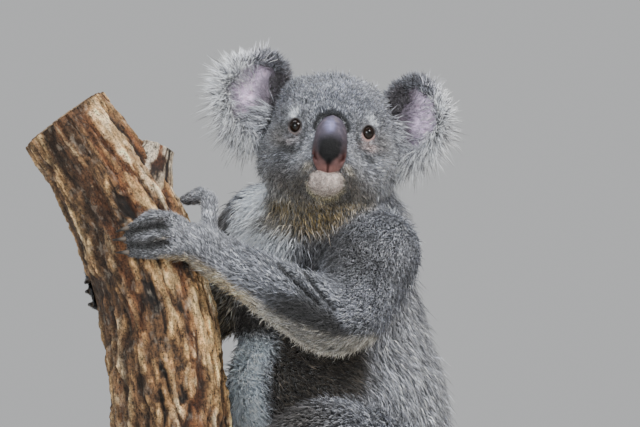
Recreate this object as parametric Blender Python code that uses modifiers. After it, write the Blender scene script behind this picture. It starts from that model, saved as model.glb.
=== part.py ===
"""A life-size koala holding a short cut length of tree trunk, on a plain display stand.

Everything is in metres with +Z up. The origin is on the floor, in the middle of the stand's base.
The koala's face looks along -Y, and its body is turned towards the trunk, which stands on its -X side.
The flesh is made whole, as rounded forms fused into one skin, and then parted with thin cuts at the
joints. The solids reach to the tips of the coat.
"""

import math

import bmesh
import bpy
from mathutils import Matrix, Vector

MODEL, BLANKS = "koala_on_perch", "blanks_and_cutters"

GAP = 0.0003  # between solids that meet
FAR = 2.0  # side of a box that stands for half of space

# Fineness of the fused forms: size of the remeshing grid, smoothing rounds and triangles kept.
BODY_GRID, BODY_SMOOTHING, BODY_TRIANGLES = 0.004, 9, 2000
SLEEVE_GRID, SLEEVE_SMOOTHING, SLEEVE_TRIANGLES = 0.006, 6, 200
PAW_GRID, PAW_SMOOTHING, PAW_TRIANGLES = 0.0018, 3, 190
NOSE_GRID, NOSE_SMOOTHING, NOSE_TRIANGLES = 0.0014, 4, 200

# The stand.
BASE_WIDTH, BASE_DEPTH, BASE_THICKNESS = 0.430, 0.370, 0.018
BASE_EDGE = 0.003
ROD_RADIUS = 0.009
RUMP_ROD_PLACE, RUMP_ROD_BLANK_TOP = (0.082, 0.050), 0.110  # its top is then cut to the rump

# The trunk's centre line from its sawn foot to its sawn top, with the radius at each point.
TRUNK_Y = -0.092
TRUNK_LINE = (
    ((-0.074, TRUNK_Y, 0.062), 0.0570),
    ((-0.075, TRUNK_Y, 0.150), 0.0555),
    ((-0.078, TRUNK_Y, 0.205), 0.0545),
    ((-0.086, TRUNK_Y, 0.275), 0.0535),
    ((-0.098, TRUNK_Y, 0.325), 0.0530),
    ((-0.112, TRUNK_Y, 0.368), 0.0525),
    ((-0.130, TRUNK_Y, 0.405), 0.0500),
    ((-0.152, TRUNK_Y, 0.440), 0.0465),
    ((-0.174, TRUNK_Y, 0.470), 0.0445),
)
TRUNK_SIDES = 16
STUB_FOOT, STUB_TOP = (-0.112, TRUNK_Y - 0.004, 0.385), (-0.089, TRUNK_Y + 0.004, 0.452)
STUB_FOOT_RADIUS, STUB_TOP_RADIUS = 0.040, 0.0155

# The body's own frame: x to the koala's left, y backwards, z up.
BODY_PLACE = Vector((0.070, 0.045, 0.0))
BODY_TURN = math.radians(-52)
BODY_FRAME = Matrix.Translation(BODY_PLACE) @ Matrix.Rotation(BODY_TURN, 4, "Z")

# The head's own frame: x to the koala's left, y backwards, z up, through the middle of the skull.
HEAD_PLACE = Vector((0.068, -0.002, 0.457))
HEAD_ROLL, HEAD_PITCH = math.radians(5.5), math.radians(-7)
HEAD_FRAME = (
    Matrix.Translation(HEAD_PLACE)
    @ Matrix.Rotation(HEAD_ROLL, 4, "Y")
    @ Matrix.Rotation(HEAD_PITCH, 4, "X")
)

# Rounded forms: centre and half sizes, in the body's frame.
TORSO_FORMS = (
    ((0.000, 0.018, 0.176), (0.100, 0.102, 0.092)),  # rump
    ((0.000, 0.006, 0.224), (0.105, 0.104, 0.090)),  # belly
    ((0.000, 0.000, 0.286), (0.092, 0.090, 0.082)),  # ribs
    ((0.000, -0.010, 0.346), (0.084, 0.080, 0.068)),  # breast
    ((0.000, 0.012, 0.372), (0.076, 0.062, 0.052)),  # upper back
    ((0.006, -0.006, 0.404), (0.060, 0.058, 0.046)),  # nape
    ((0.020, -0.024, 0.400), (0.056, 0.054, 0.044)),  # neck
    ((0.030, -0.026, 0.425), (0.052, 0.052, 0.040)),  # throat
)

# Rounded forms of the head, in the head's frame.
HEAD_FORMS = (
    ((0.000, 0.010, 0.006), (0.059, 0.062, 0.060)),  # skull
    ((0.000, -0.020, 0.010), (0.050, 0.042, 0.044)),  # brow
    ((0.000, -0.006, -0.034), (0.048, 0.048, 0.033)),  # jaw and throat
    ((0.000, -0.044, -0.022), (0.027, 0.032, 0.027)),  # muzzle
    ((0.000, -0.044, 0.000), (0.020, 0.022, 0.022)),  # bridge of the nose
    ((0.000, -0.046, -0.046), (0.021, 0.025, 0.014)),  # chin
)
CHEEK_FORM = ((0.033, -0.008, -0.020), (0.033, 0.040, 0.036))
LIP_FORM = ((0.014, -0.056, -0.034), (0.013, 0.018, 0.014))
EYE_HOLLOW = ((0.036, -0.060, 0.004), 0.0095)  # dents the head in front of each eye

EYE_CENTRE, EYE_RADIUS = (0.0345, -0.0445, 0.0042), 0.0078

NOSE_FORMS = (
    ((0.000, -0.0600, 0.0020), (0.0110, 0.0110, 0.0125)),  # top, between the eyes
    ((0.000, -0.0680, -0.0100), (0.0150, 0.0130, 0.0165)),  # bridge
    ((0.000, -0.0730, -0.0240), (0.0155, 0.0120, 0.0150)),  # bulb
    ((0.000, -0.0700, -0.0340), (0.0100, 0.0110, 0.0095)),  # tip over the lip
)
NOSE_WING_FORM = ((0.0090, -0.0690, -0.0290), (0.0078, 0.0100, 0.0095))

# Each ear is a cupped pad: centre, half sizes and turns about the head's x, y and z axes, in degrees.
EAR_RIGHT = ((-0.080, 0.006, 0.036), (0.040, 0.019, 0.049), (4, 10, 18))
EAR_LEFT = ((0.079, 0.008, 0.027), (0.041, 0.019, 0.047), (2, 14, -20))
EAR_CUP_SIZE, EAR_CUP_FORWARD = 0.72, 0.0185

# Limbs: the joints, in the object's frame, with the limb's radius at each.
LEFT_ARM = (
    ((0.110, -0.022, 0.352), 0.043),
    ((0.094, -0.058, 0.322), 0.041),
    ((0.073, -0.104, 0.289), 0.0385),
    ((0.040, -0.118, 0.302), 0.0345),
    ((-0.004, -0.124, 0.326), 0.0270),
    ((-0.044, -0.128, 0.350), 0.0200),
    ((-0.062, -0.130, 0.360), 0.0180),
)
RIGHT_ARM = (
    ((0.008, 0.070, 0.379), 0.046),
    ((-0.034, 0.076, 0.328), 0.040),
    ((-0.074, 0.070, 0.284), 0.034),
    ((-0.090, 0.034, 0.288), 0.030),
    ((-0.106, 0.002, 0.300), 0.024),
    ((-0.116, -0.022, 0.308), 0.0195),
    ((-0.121, -0.026, 0.312), 0.0175),
)
LEFT_LEG = (
    ((0.104, 0.000, 0.158), 0.060),
    ((0.084, -0.052, 0.166), 0.053),
    ((0.052, -0.102, 0.176), 0.040),
    ((0.018, -0.126, 0.150), 0.033),
    ((-0.012, -0.137, 0.124), 0.0235),
    ((-0.020, -0.138, 0.114), 0.0210),
)
RIGHT_LEG = (
    ((0.032, 0.092, 0.158), 0.060),
    ((-0.022, 0.082, 0.166), 0.053),
    ((-0.074, 0.054, 0.176), 0.040),
    ((-0.094, 0.014, 0.152), 0.033),
    ((-0.104, -0.014, 0.126), 0.0235),
    ((-0.106, -0.022, 0.116), 0.0210),
)
SLEEVE_EXTRA = 0.010  # the cell that parts a limb from the trunk of the body is this much wider

# Digits: each starts at the palm and curls round the trunk. The numbers are the turn round the
# trunk in degrees (0 is +X, 90 is towards -Y), the height, and the lift of the arch.
HAND_DIGITS = {
    "thumb": ((24, 0.360, 0.018), (2, 0.371, 0.020), (-18, 0.366, 0.007)),
    "index": ((17, 0.377, 0.026), (6, 0.402, 0.033), (0, 0.398, 0.012)),
    "middle": ((36, 0.371, 0.008), (62, 0.379, 0.010), (90, 0.370, 0.002)),
    "ring": ((38, 0.360, 0.007), (66, 0.363, 0.008), (96, 0.360, 0.001)),
    "little": ((36, 0.348, 0.007), (64, 0.349, 0.007), (97, 0.348, 0.001)),
}
FOOT_DIGITS = {
    "hallux": ((34, 0.130, 0.011), (8, 0.142, 0.010), (-14, 0.146, 0.002)),
    "second": ((40, 0.130, 0.007), (64, 0.143, 0.008), (88, 0.145, 0.001)),
    "third": ((40, 0.125, 0.007), (64, 0.136, 0.008), (88, 0.137, 0.001)),
    "fourth": ((42, 0.115, 0.008), (70, 0.120, 0.009), (100, 0.121, 0.002)),
    "fifth": ((38, 0.102, 0.008), (66, 0.103, 0.008), (94, 0.104, 0.002)),
}
CLAWLESS = "hallux"
HAND_DIGIT_RADII, FOOT_DIGIT_RADII = (0.0072, 0.0070, 0.0058), (0.0080, 0.0076, 0.0058)
CLAW_LENGTH, CLAW_RADIUS, CLAW_POINTS = 0.0135, 0.0026, 3
CLAW_ROOT = 0.0040  # how far a claw starts inside its digit

# Where the body is parted: a point and a direction, in the object's frame.
NECK_TOP_CUT = (Vector((0.070, 0.018, 0.399)), Vector((0.00, -0.28, 0.96)))
NECK_FOOT_CUT = (Vector((0.064, 0.030, 0.374)), Vector((0.00, -0.12, 0.99)))
BREAST_CUT = (Vector((0.060, 0.040, 0.300)), Vector((0.05, 0.00, 1.00)))
BELLY_CUT = (Vector((0.070, 0.045, 0.205)), Vector((0.00, 0.00, 1.00)))

FUR = ("fur_grey", (0.24, 0.245, 0.265), 0.95)
FUR_PALE = ("fur_pale", (0.46, 0.45, 0.43), 0.95)
LEATHER = ("nose_leather", (0.075, 0.065, 0.068), 0.5)
EYE_GLOSS = ("eye", (0.02, 0.013, 0.010), 0.08)
CLAW_HORN = ("claw", (0.055, 0.045, 0.040), 0.4)
BARK = ("bark", (0.33, 0.20, 0.11), 0.9)
BASE_WOOD = ("stand_board", (0.70, 0.69, 0.66), 0.6)
STEEL = ("stand_steel", (0.45, 0.45, 0.46), 0.35)


def clear_scene():
    for obj in list(bpy.data.objects):
        bpy.data.objects.remove(obj, do_unlink=True)


def material(look):
    """The Principled material of a look: its name, colour and roughness."""
    name, colour, roughness = look
    made = bpy.data.materials.get(name)
    if made is None:
        made = bpy.data.materials.new(name)
        made.use_nodes = True
        shader = made.node_tree.nodes["Principled BSDF"]
        shader.inputs["Base Color"].default_value = (*colour, 1.0)
        shader.inputs["Roughness"].default_value = roughness
        shader.inputs["Metallic"].default_value = 1.0 if look is STEEL else 0.0
    return made


def collection(name):
    """The collection of that name, made on first use. The one for blanks is never rendered."""
    made = bpy.data.collections.get(name)
    if made is None:
        made = bpy.data.collections.new(name)
        made.hide_render = name == BLANKS
        bpy.context.scene.collection.children.link(made)
    return made


def new_object(name, mesh):
    """A blank or a cutter, which moves to the model's own collection when it is finished."""
    obj = bpy.data.objects.new(name, mesh)
    obj.display_type = "WIRE"
    obj.hide_render = True
    collection(BLANKS).objects.link(obj)
    return obj


def take_mesh(obj):
    """The object's evaluated mesh in the object's frame of the model; the object is removed."""
    bpy.context.view_layer.update()
    graph = bpy.context.evaluated_depsgraph_get()
    mesh = bpy.data.meshes.new_from_object(obj.evaluated_get(graph))
    mesh.transform(obj.matrix_world)
    bpy.data.objects.remove(obj, do_unlink=True)
    return mesh


def copy_of(obj, name):
    return new_object(name, obj.data.copy())


def ellipsoid(centre, half_sizes, frame=Matrix.Identity(4), turns=(0, 0, 0), segments=28):
    """A closed ellipsoid mesh. Turns are degrees about the frame's x, y and z axes."""
    bm = bmesh.new()
    bmesh.ops.create_uvsphere(bm, u_segments=segments, v_segments=segments // 2, radius=1.0)
    turn = Matrix.Identity(4)
    for angle, axis in zip(turns, "XYZ"):
        turn = Matrix.Rotation(math.radians(angle), 4, axis) @ turn
    scale = Matrix.Diagonal((*half_sizes, 1.0))
    bm.transform(frame @ Matrix.Translation(centre) @ turn @ scale)
    mesh = bpy.data.meshes.new("ellipsoid")
    bm.to_mesh(mesh)
    bm.free()
    return mesh


def mirrored(form):
    """The same form on the koala's other side."""
    (x, y, z), sizes = form
    return ((-x, y, z), sizes)


def tube(points, radii, resolution=3, steps=4):
    """A closed tube along a smooth curve through the points, with its own radius at each."""
    curve = bpy.data.curves.new("tube", "CURVE")
    curve.dimensions = "3D"
    curve.bevel_depth = 1.0
    curve.bevel_resolution = resolution
    curve.use_fill_caps = True
    curve.resolution_u = steps
    spline = curve.splines.new("BEZIER")
    spline.bezier_points.add(len(points) - 1)
    for knot, point, radius in zip(spline.bezier_points, points, radii):
        knot.co = point
        knot.radius = radius
        knot.handle_left_type = knot.handle_right_type = "AUTO"
    mesh = take_mesh(new_object("tube", curve))
    bm = bmesh.new()
    bm.from_mesh(mesh)
    bmesh.ops.remove_doubles(bm, verts=bm.verts, dist=0.00005)
    bmesh.ops.recalc_face_normals(bm, faces=bm.faces)
    bm.to_mesh(mesh)
    bm.free()
    return mesh


def limb_forms(joints):
    """A tube with a ball at each end, so that it is rounded there."""
    points = [Vector(point) for point, _ in joints]
    radii = [radius for _, radius in joints]
    ends = [ellipsoid(points[i], (radii[i],) * 3) for i in (0, -1)]
    return [tube(points, radii, resolution=6), *ends]


def fuse(name, meshes, grid, smoothing, triangles):
    """One closed smooth solid from overlapping closed meshes, with about that many triangles."""
    bm = bmesh.new()
    for mesh in meshes:
        bm.from_mesh(mesh)
        bpy.data.meshes.remove(mesh)
    joined = bpy.data.meshes.new(name)
    bm.to_mesh(joined)
    bm.free()
    rough = new_object(name, joined)
    remesh = rough.modifiers.new("one_skin", "REMESH")
    remesh.mode = "VOXEL"
    remesh.voxel_size = grid
    smooth = rough.modifiers.new("soften", "SMOOTH")
    smooth.factor = 0.5
    smooth.iterations = smoothing
    fine = new_object(name, take_mesh(rough))
    thin_out = fine.modifiers.new("thin_out", "DECIMATE")
    thin_out.ratio = triangles / (2 * len(fine.data.polygons))
    thin_out.use_collapse_triangulate = True
    return new_object(name, take_mesh(fine))


def grown(obj, distance):
    """A copy whose surface lies that much further out, for cutting a clearance."""
    bm = bmesh.new()
    bm.from_mesh(obj.data)
    bm.normal_update()
    moves = [(vertex, vertex.normal * distance) for vertex in bm.verts]
    for vertex, move in moves:
        vertex.co += move
    mesh = bpy.data.meshes.new(obj.name + "_grown")
    bm.to_mesh(mesh)
    bm.free()
    return new_object(obj.name + "_grown", mesh)


def boolean(obj, cutter, operation="DIFFERENCE"):
    """Cuts obj with the cutter, or keeps what both share, and removes the cutter."""
    cut = obj.modifiers.new("cut", "BOOLEAN")
    cut.object = cutter
    cut.operation = operation
    cut.solver = "EXACT"
    name = obj.name
    mesh = take_mesh(obj)
    bpy.data.objects.remove(cutter, do_unlink=True)
    return new_object(name, mesh)


def half_space(point, direction):
    """A large box that covers everything on the direction's side of the point."""
    bm = bmesh.new()
    bmesh.ops.create_cube(bm, size=FAR)
    direction = direction.normalized()
    turn = direction.to_track_quat("Z", "Y").to_matrix().to_4x4()
    bm.transform(Matrix.Translation(point + direction * (FAR / 2)) @ turn)
    mesh = bpy.data.meshes.new("half_space")
    bm.to_mesh(mesh)
    bm.free()
    return new_object("half_space", mesh)


def part_at(obj, cut, near_name, far_name):
    """Parts obj at a plane into the piece behind it and the piece in front, a thin cut apart."""
    point, direction = cut
    direction = direction.normalized()
    far = copy_of(obj, far_name)
    obj.name = near_name
    near = boolean(obj, half_space(point - direction * GAP / 2, direction))
    far = boolean(far, half_space(point + direction * GAP / 2, -direction))
    return near, far


def largest_piece(obj):
    """Keeps only the largest connected piece, so that no crumb of a cut is left."""
    bm = bmesh.new()
    bm.from_mesh(obj.data)
    todo, pieces = set(bm.verts), []
    while todo:
        piece, front = set(), [todo.pop()]
        while front:
            vertex = front.pop()
            piece.add(vertex)
            near = {edge.other_vert(vertex) for edge in vertex.link_edges} & todo
            todo -= near
            front += near
        pieces.append(piece)
    pieces.sort(key=len)
    crumbs = [vertex for piece in pieces[:-1] for vertex in piece]
    bmesh.ops.delete(bm, geom=crumbs, context="VERTS")
    bm.to_mesh(obj.data)
    bm.free()
    return obj


def finish(obj, look, parent):
    """Gives a piece its material and its own origin, and puts it with the model's other pieces."""
    largest_piece(obj)
    corners = [Vector(corner) for corner in obj.bound_box]
    middle = (corners[0] + corners[6]) / 2
    obj.data.transform(Matrix.Translation(-middle))
    obj.location = middle
    obj.parent = parent
    obj.data.materials.clear()
    obj.data.materials.append(material(look))
    obj.data.shade_smooth()
    obj.display_type = "TEXTURED"
    obj.hide_render = False
    collection(BLANKS).objects.unlink(obj)
    collection(MODEL).objects.link(obj)


def trunk_at(height):
    """The trunk's centre and radius at a height, between the points of its line."""
    for (low, r_low), (high, r_high) in zip(TRUNK_LINE, TRUNK_LINE[1:]):
        if height <= high[2] or high is TRUNK_LINE[-1][0]:
            share = (height - low[2]) / (high[2] - low[2])
            return Vector(low).lerp(Vector(high), share), r_low + (r_high - r_low) * share
    return Vector(TRUNK_LINE[-1][0]), TRUNK_LINE[-1][1]


def on_trunk(turn, height, lift):
    """The point at that turn round the trunk, lifted off its bark."""
    centre, radius = trunk_at(height)
    angle = math.radians(turn)
    out = Vector((math.cos(angle), -math.sin(angle), 0.0))
    return centre + out * (radius + lift)


def build_trunk():
    """The sawn length of trunk with the stub of a branch on its side."""
    points = [Vector(point) for point, _ in TRUNK_LINE]
    radii = [radius for _, radius in TRUNK_LINE]
    stem = new_object("perch_trunk", tube(points, radii, resolution=TRUNK_SIDES // 4 - 1, steps=2))
    foot, top = Vector(STUB_FOOT), Vector(STUB_TOP)
    stub_points = [foot, foot.lerp(top, 0.5), top]
    middle_radius = (STUB_FOOT_RADIUS + STUB_TOP_RADIUS) / 2
    stub_radii = [STUB_FOOT_RADIUS, middle_radius, STUB_TOP_RADIUS]
    stub = new_object("stub", tube(stub_points, stub_radii, resolution=3, steps=2))
    return boolean(stem, stub, "UNION")


def build_base():
    """The flat board that everything stands on, with softened edges."""
    bm = bmesh.new()
    bmesh.ops.create_cube(bm, size=1.0)
    bm.transform(Matrix.Diagonal((BASE_WIDTH, BASE_DEPTH, BASE_THICKNESS, 1.0)))
    bm.transform(Matrix.Translation((0.0, 0.0, BASE_THICKNESS / 2)))
    mesh = bpy.data.meshes.new("stand_base")
    bm.to_mesh(mesh)
    bm.free()
    base = new_object("stand_base", mesh)
    edge = base.modifiers.new("edge", "BEVEL")
    edge.width, edge.segments = BASE_EDGE, 2
    return new_object("stand_base", take_mesh(base))


def build_rod(name, x, y, top):
    """A round rod from just above the base to a height."""
    foot = BASE_THICKNESS + GAP
    bm = bmesh.new()
    bmesh.ops.create_cone(
        bm, segments=20, cap_ends=True, radius1=ROD_RADIUS, radius2=ROD_RADIUS, depth=top - foot
    )
    bm.transform(Matrix.Translation((x, y, (top + foot) / 2)))
    mesh = bpy.data.meshes.new(name)
    bm.to_mesh(mesh)
    bm.free()
    return new_object(name, mesh)


def build_body():
    """Trunk of the body, head and limbs as one skin; paws, ears, eyes and nose come after."""
    forms = [ellipsoid(c, s, BODY_FRAME) for c, s in TORSO_FORMS]
    pairs = [form for f in (CHEEK_FORM, LIP_FORM) for form in (f, mirrored(f))]
    forms += [ellipsoid(c, s, HEAD_FRAME) for c, s in (*HEAD_FORMS, *pairs)]
    for joints in (LEFT_ARM, RIGHT_ARM, LEFT_LEG, RIGHT_LEG):
        forms += limb_forms(joints)
    return fuse("body", forms, BODY_GRID, BODY_SMOOTHING, BODY_TRIANGLES)


def sleeve(joints):
    """The cell round a limb that parts it from the body."""
    first, second = Vector(joints[0][0]), Vector(joints[1][0])
    start = first.lerp(second, 0.25)
    points = [start, *(Vector(point) for point, _ in joints[1:])]
    past = points[-1] + (points[-1] - points[-2]).normalized() * 0.03
    points.append(past)
    radii = [radius + SLEEVE_EXTRA for _, radius in joints]
    cell = limb_forms(list(zip(points, [*radii, radii[-1]])))
    return fuse("sleeve", cell, SLEEVE_GRID, SLEEVE_SMOOTHING, SLEEVE_TRIANGLES)


def limb_cut(joints, index):
    """The plane at a joint, across the bisector of the limb's two directions there."""
    before, here, after = (Vector(joints[i][0]) for i in (index - 1, index, index + 1))
    return here, (here - before).normalized() + (after - here).normalized()


def take_limb(body, joints, names, elbow, wrist):
    """Parts a limb from the body: returns the body and the limb's upper and lower pieces."""
    cell = sleeve(joints)
    body_cutter = grown(cell, GAP)
    limb = boolean(copy_of(body, names[0]), cell, "INTERSECT")
    body = boolean(body, body_cutter)
    upper, lower = part_at(limb, limb_cut(joints, elbow), names[0], names[1])
    lower, spare = part_at(lower, limb_cut(joints, wrist), names[1], "spare")
    bpy.data.objects.remove(spare, do_unlink=True)
    return body, upper, lower


def digit_path(knots, mirror, drop):
    """The points of a digit on the near side of the trunk, or mirrored to its far side."""
    points = []
    for turn, height, lift in knots:
        if mirror:
            turn = 2 * math.degrees(-BODY_TURN - math.pi / 2) - turn
        points.append(on_trunk(turn, height - drop, lift))
    return points


def claw(name, path, radius):
    """A horn claw that carries on from a digit's end and curls down to the bark."""
    tip, along = path[-1], (path[-1] - path[-2]).normalized()
    centre, trunk_radius = trunk_at(tip.z)
    inward = (centre - tip).normalized()
    points, radii = [], []
    for i in range(CLAW_POINTS):
        share = i / (CLAW_POINTS - 1)
        reach = radius - CLAW_ROOT + share * CLAW_LENGTH
        points.append(tip + along * reach * (1 - 0.25 * share) + inward * 0.0045 * share**2)
        radii.append(CLAW_RADIUS * (1 - share) ** 0.6 + 0.0003)
    for point in points:
        centre, trunk_radius = trunk_at(point.z)
        out = Vector((point.x - centre.x, point.y - centre.y, 0.0))
        least = trunk_radius + 0.0036
        if out.length < least:
            point += out.normalized() * (least - out.length)
    return new_object(name, tube(points, radii, resolution=1, steps=1))


def build_paw(name, joints, wrist, digits, digit_radii, mirror, drop, palm):
    """A hand or foot round the trunk with its claws. Palm is its half sizes and its turn and height."""
    paths = {key: digit_path(knots, mirror, drop) for key, knots in digits.items()}
    wrist_point, wrist_radius = Vector(joints[wrist][0]), joints[wrist][1]
    before = Vector(joints[wrist - 1][0])
    (turn, height, lift), palm_radius = palm
    palm_centre = digit_path([(turn, height + drop, lift)], mirror, drop)[0]
    meshes = [
        tube([before, wrist_point, palm_centre], [joints[wrist - 1][1], wrist_radius, palm_radius]),
        ellipsoid(palm_centre, (palm_radius,) * 3),
    ]
    claws = []
    for key, path in paths.items():
        meshes.append(tube([palm_centre, *path], [palm_radius * 0.55, *digit_radii], steps=5))
        meshes.append(ellipsoid(path[-1], (digit_radii[-1],) * 3, segments=16))
        if key != CLAWLESS:
            claws.append(claw(f"{name}_claw_{key}", path, digit_radii[-1]))
    paw = fuse(name, meshes, PAW_GRID, PAW_SMOOTHING, PAW_TRIANGLES)
    point, direction = limb_cut(joints, wrist)
    direction = direction.normalized()
    paw = boolean(paw, half_space(point + direction * GAP / 2, -direction))
    for horn in claws:
        paw = boolean(paw, grown(horn, GAP))
    return paw, claws


def build_ear(name, shape):
    """A thick cupped pad, as wide as the ear with its fringe."""
    centre, sizes, turns = shape
    ear = new_object(name, ellipsoid(centre, sizes, HEAD_FRAME, turns, segments=14))
    cup_centre = (centre[0], centre[1] - EAR_CUP_FORWARD, centre[2])
    cup_sizes = (sizes[0] * EAR_CUP_SIZE, sizes[1] * EAR_CUP_SIZE, sizes[2] * EAR_CUP_SIZE)
    cup = new_object("cup", ellipsoid(cup_centre, cup_sizes, HEAD_FRAME, turns, segments=12))
    return boolean(ear, cup)


def build_nose():
    forms = [*NOSE_FORMS, NOSE_WING_FORM, mirrored(NOSE_WING_FORM)]
    meshes = [ellipsoid(c, s, HEAD_FRAME, segments=24) for c, s in forms]
    return fuse("nose", meshes, NOSE_GRID, NOSE_SMOOTHING, NOSE_TRIANGLES)


def main():
    clear_scene()
    trunk = build_trunk()
    body = build_body()
    limbs = []
    for joints, names, elbow, wrist in (
        (LEFT_ARM, ("arm_left_upper", "arm_left_fore"), 2, 5),
        (RIGHT_ARM, ("arm_right_upper", "arm_right_fore"), 2, 5),
        (LEFT_LEG, ("leg_left_thigh", "leg_left_shin"), 2, 4),
        (RIGHT_LEG, ("leg_right_thigh", "leg_right_shin"), 2, 4),
    ):
        body, upper, lower = take_limb(body, joints, names, elbow, wrist)
        limbs += [upper, lower]
    body, head = part_at(body, NECK_TOP_CUT, "body", "head")
    body, neck = part_at(body, NECK_FOOT_CUT, "body", "neck")
    body, breast = part_at(body, BREAST_CUT, "body", "chest")
    rump, belly = part_at(body, BELLY_CUT, "rump", "belly")

    paws, claws = [], []
    hand_palm = ((30, 0.358, 0.0165), 0.0165)
    foot_palm = ((36, 0.117, 0.0190), 0.0190)
    for name, joints, wrist, digits, radii, mirror, drop, palm in (
        ("hand_left", LEFT_ARM, 5, HAND_DIGITS, HAND_DIGIT_RADII, False, 0.0, hand_palm),
        ("hand_right", RIGHT_ARM, 5, HAND_DIGITS, HAND_DIGIT_RADII, True, 0.045, hand_palm),
        ("foot_left", LEFT_LEG, 4, FOOT_DIGITS, FOOT_DIGIT_RADII, False, 0.0, foot_palm),
        ("foot_right", RIGHT_LEG, 4, FOOT_DIGITS, FOOT_DIGIT_RADII, True, 0.0, foot_palm),
    ):
        paw, horns = build_paw(name, joints, wrist, digits, radii, mirror, drop, palm)
        paws.append(paw)
        claws += horns

    nose = build_nose()
    head = boolean(head, grown(nose, GAP))
    ears = []
    for name, shape in (("ear_right", EAR_RIGHT), ("ear_left", EAR_LEFT)):
        ear = build_ear(name, shape)
        ear = boolean(ear, grown(head, GAP))
        ears.append(ear)
    eyes = []
    for name, side in (("eye_right", -1), ("eye_left", 1)):
        x, y, z = EYE_CENTRE
        centre = (side * x, y, z)
        eye = new_object(name, ellipsoid(centre, (EYE_RADIUS,) * 3, HEAD_FRAME, segments=12))
        (hx, hy, hz), hollow = EYE_HOLLOW
        hollow_mesh = ellipsoid((side * hx, hy, hz), (hollow,) * 3, HEAD_FRAME, segments=12)
        head = boolean(head, new_object("hollow", hollow_mesh))
        head = boolean(head, grown(eye, GAP))
        eyes.append(eye)

    paws = [boolean(paw, grown(trunk, GAP)) for paw in paws]
    claws = [boolean(horn, grown(trunk, GAP)) for horn in claws]
    trunk_rod = build_rod("stand_rod_trunk", *TRUNK_LINE[0][0][:2], TRUNK_LINE[0][0][2] - GAP)
    rump_rod = build_rod("stand_rod_rump", *RUMP_ROD_PLACE, RUMP_ROD_BLANK_TOP)
    for flesh in (rump, *(limb for limb in limbs if limb.name.endswith("thigh"))):
        rump_rod = boolean(rump_rod, grown(flesh, GAP))

    model = bpy.data.objects.new("model", None)
    collection(MODEL).objects.link(model)
    for look, pieces in (
        (FUR, (head, neck, breast, belly, rump, *limbs, *paws)),
        (FUR_PALE, ears),
        (LEATHER, (nose,)),
        (EYE_GLOSS, eyes),
        (CLAW_HORN, claws),
        (BARK, (trunk,)),
        (BASE_WOOD, (build_base(),)),
        (STEEL, (trunk_rod, rump_rod)),
    ):
        for piece in pieces:
            finish(piece, look, model)
    bpy.data.collections.remove(collection(BLANKS))


main()
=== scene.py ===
"""A life-size koala that grips a cut length of trunk on a plain display stand.

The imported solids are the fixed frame. Here they get one furred skin, a coat of solid tufts, a face,
bark, claws and light. Lengths are metres, +Z is up and the koala's face looks along -Y.
"""

import logging
import math
from dataclasses import dataclass, field
from enum import Enum
from typing import Any, Dict, List, Optional, Sequence, Tuple

import bpy
import numpy as np
from mathutils import Matrix, Vector


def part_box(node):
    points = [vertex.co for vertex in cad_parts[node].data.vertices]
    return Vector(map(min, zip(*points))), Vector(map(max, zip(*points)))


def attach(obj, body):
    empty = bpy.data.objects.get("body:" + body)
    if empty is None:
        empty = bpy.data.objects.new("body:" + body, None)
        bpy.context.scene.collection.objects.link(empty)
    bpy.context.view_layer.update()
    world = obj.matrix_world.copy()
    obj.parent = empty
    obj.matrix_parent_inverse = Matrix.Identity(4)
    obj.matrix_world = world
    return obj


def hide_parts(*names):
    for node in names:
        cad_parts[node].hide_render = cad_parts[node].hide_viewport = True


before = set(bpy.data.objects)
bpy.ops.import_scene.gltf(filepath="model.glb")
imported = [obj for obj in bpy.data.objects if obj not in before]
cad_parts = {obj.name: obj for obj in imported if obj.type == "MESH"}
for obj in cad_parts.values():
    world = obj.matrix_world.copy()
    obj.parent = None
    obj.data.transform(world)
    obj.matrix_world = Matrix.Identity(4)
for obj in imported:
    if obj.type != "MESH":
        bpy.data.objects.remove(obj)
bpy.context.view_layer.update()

logging.basicConfig(level=logging.INFO, format="%(name)s: %(message)s")
LOG = logging.getLogger("koala")

Array = np.ndarray
Spot = Tuple[float, float, float]
Pair = Tuple[float, float]
Colour = Spot
Rng = np.random.Generator
Settings = Optional[Dict[str, Any]]
MM = 0.001
BODY = "root"
TONE = "tone"  # the colour attribute that skin, coat, nose and bark carry

FLESH = (
    "head", "neck", "chest", "belly", "rump",
    "arm_left_upper", "arm_left_fore", "arm_right_upper", "arm_right_fore",
    "leg_left_thigh", "leg_left_shin", "leg_right_thigh", "leg_right_shin",
    "hand_left", "hand_right", "foot_left", "foot_right",
)


# ----
# Arrays


def unit(vectors: Array) -> Array:
    """Rows scaled to length one."""
    return vectors / np.maximum(np.linalg.norm(vectors, axis=-1, keepdims=True), 1e-12)


def flatten(vectors: Array, normals: Array) -> Array:
    """Unit rows with their part along the normals taken out."""
    return unit(vectors - np.sum(vectors * normals, axis=1, keepdims=True) * normals)


def ease(x: Array, low: float, high: float) -> Array:
    """0 below low, 1 above high, and the smooth cubic 3t^2 - 2t^3 between."""
    t = np.clip((x - low) / (high - low), 0.0, 1.0)
    return t * t * (3.0 - 2.0 * t)


def fade(x: Array, low: float, high: float) -> Array:
    """1 below low and 0 above high, eased between."""
    return 1.0 - ease(x, low, high)


def bump(x: Array, width: float) -> Array:
    """A bell exp(-(x / width)^2)."""
    return np.exp(-((x / width) ** 2))


def blot(x: Array, y: Array, at: Pair, sizes: Pair, turn: float = 0.0) -> Array:
    """A soft oval spot: a bell of the distance from its middle, measured in its turned half sizes.

    Args:
        x: First coordinate.
        y: Second coordinate.
        at: The middle.
        sizes: The half sizes along the turned axes.
        turn: Degrees from the x axis to the first half size.

    Returns:
        1 in the middle, falling to 0.
    """
    c, s = math.cos(math.radians(turn)), math.sin(math.radians(turn))
    dx, dy = x - at[0], y - at[1]
    a, b = (dx * c + dy * s) / sizes[0], (dy * c - dx * s) / sizes[1]
    return np.exp(-((a * a + b * b) ** 1.5))


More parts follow.
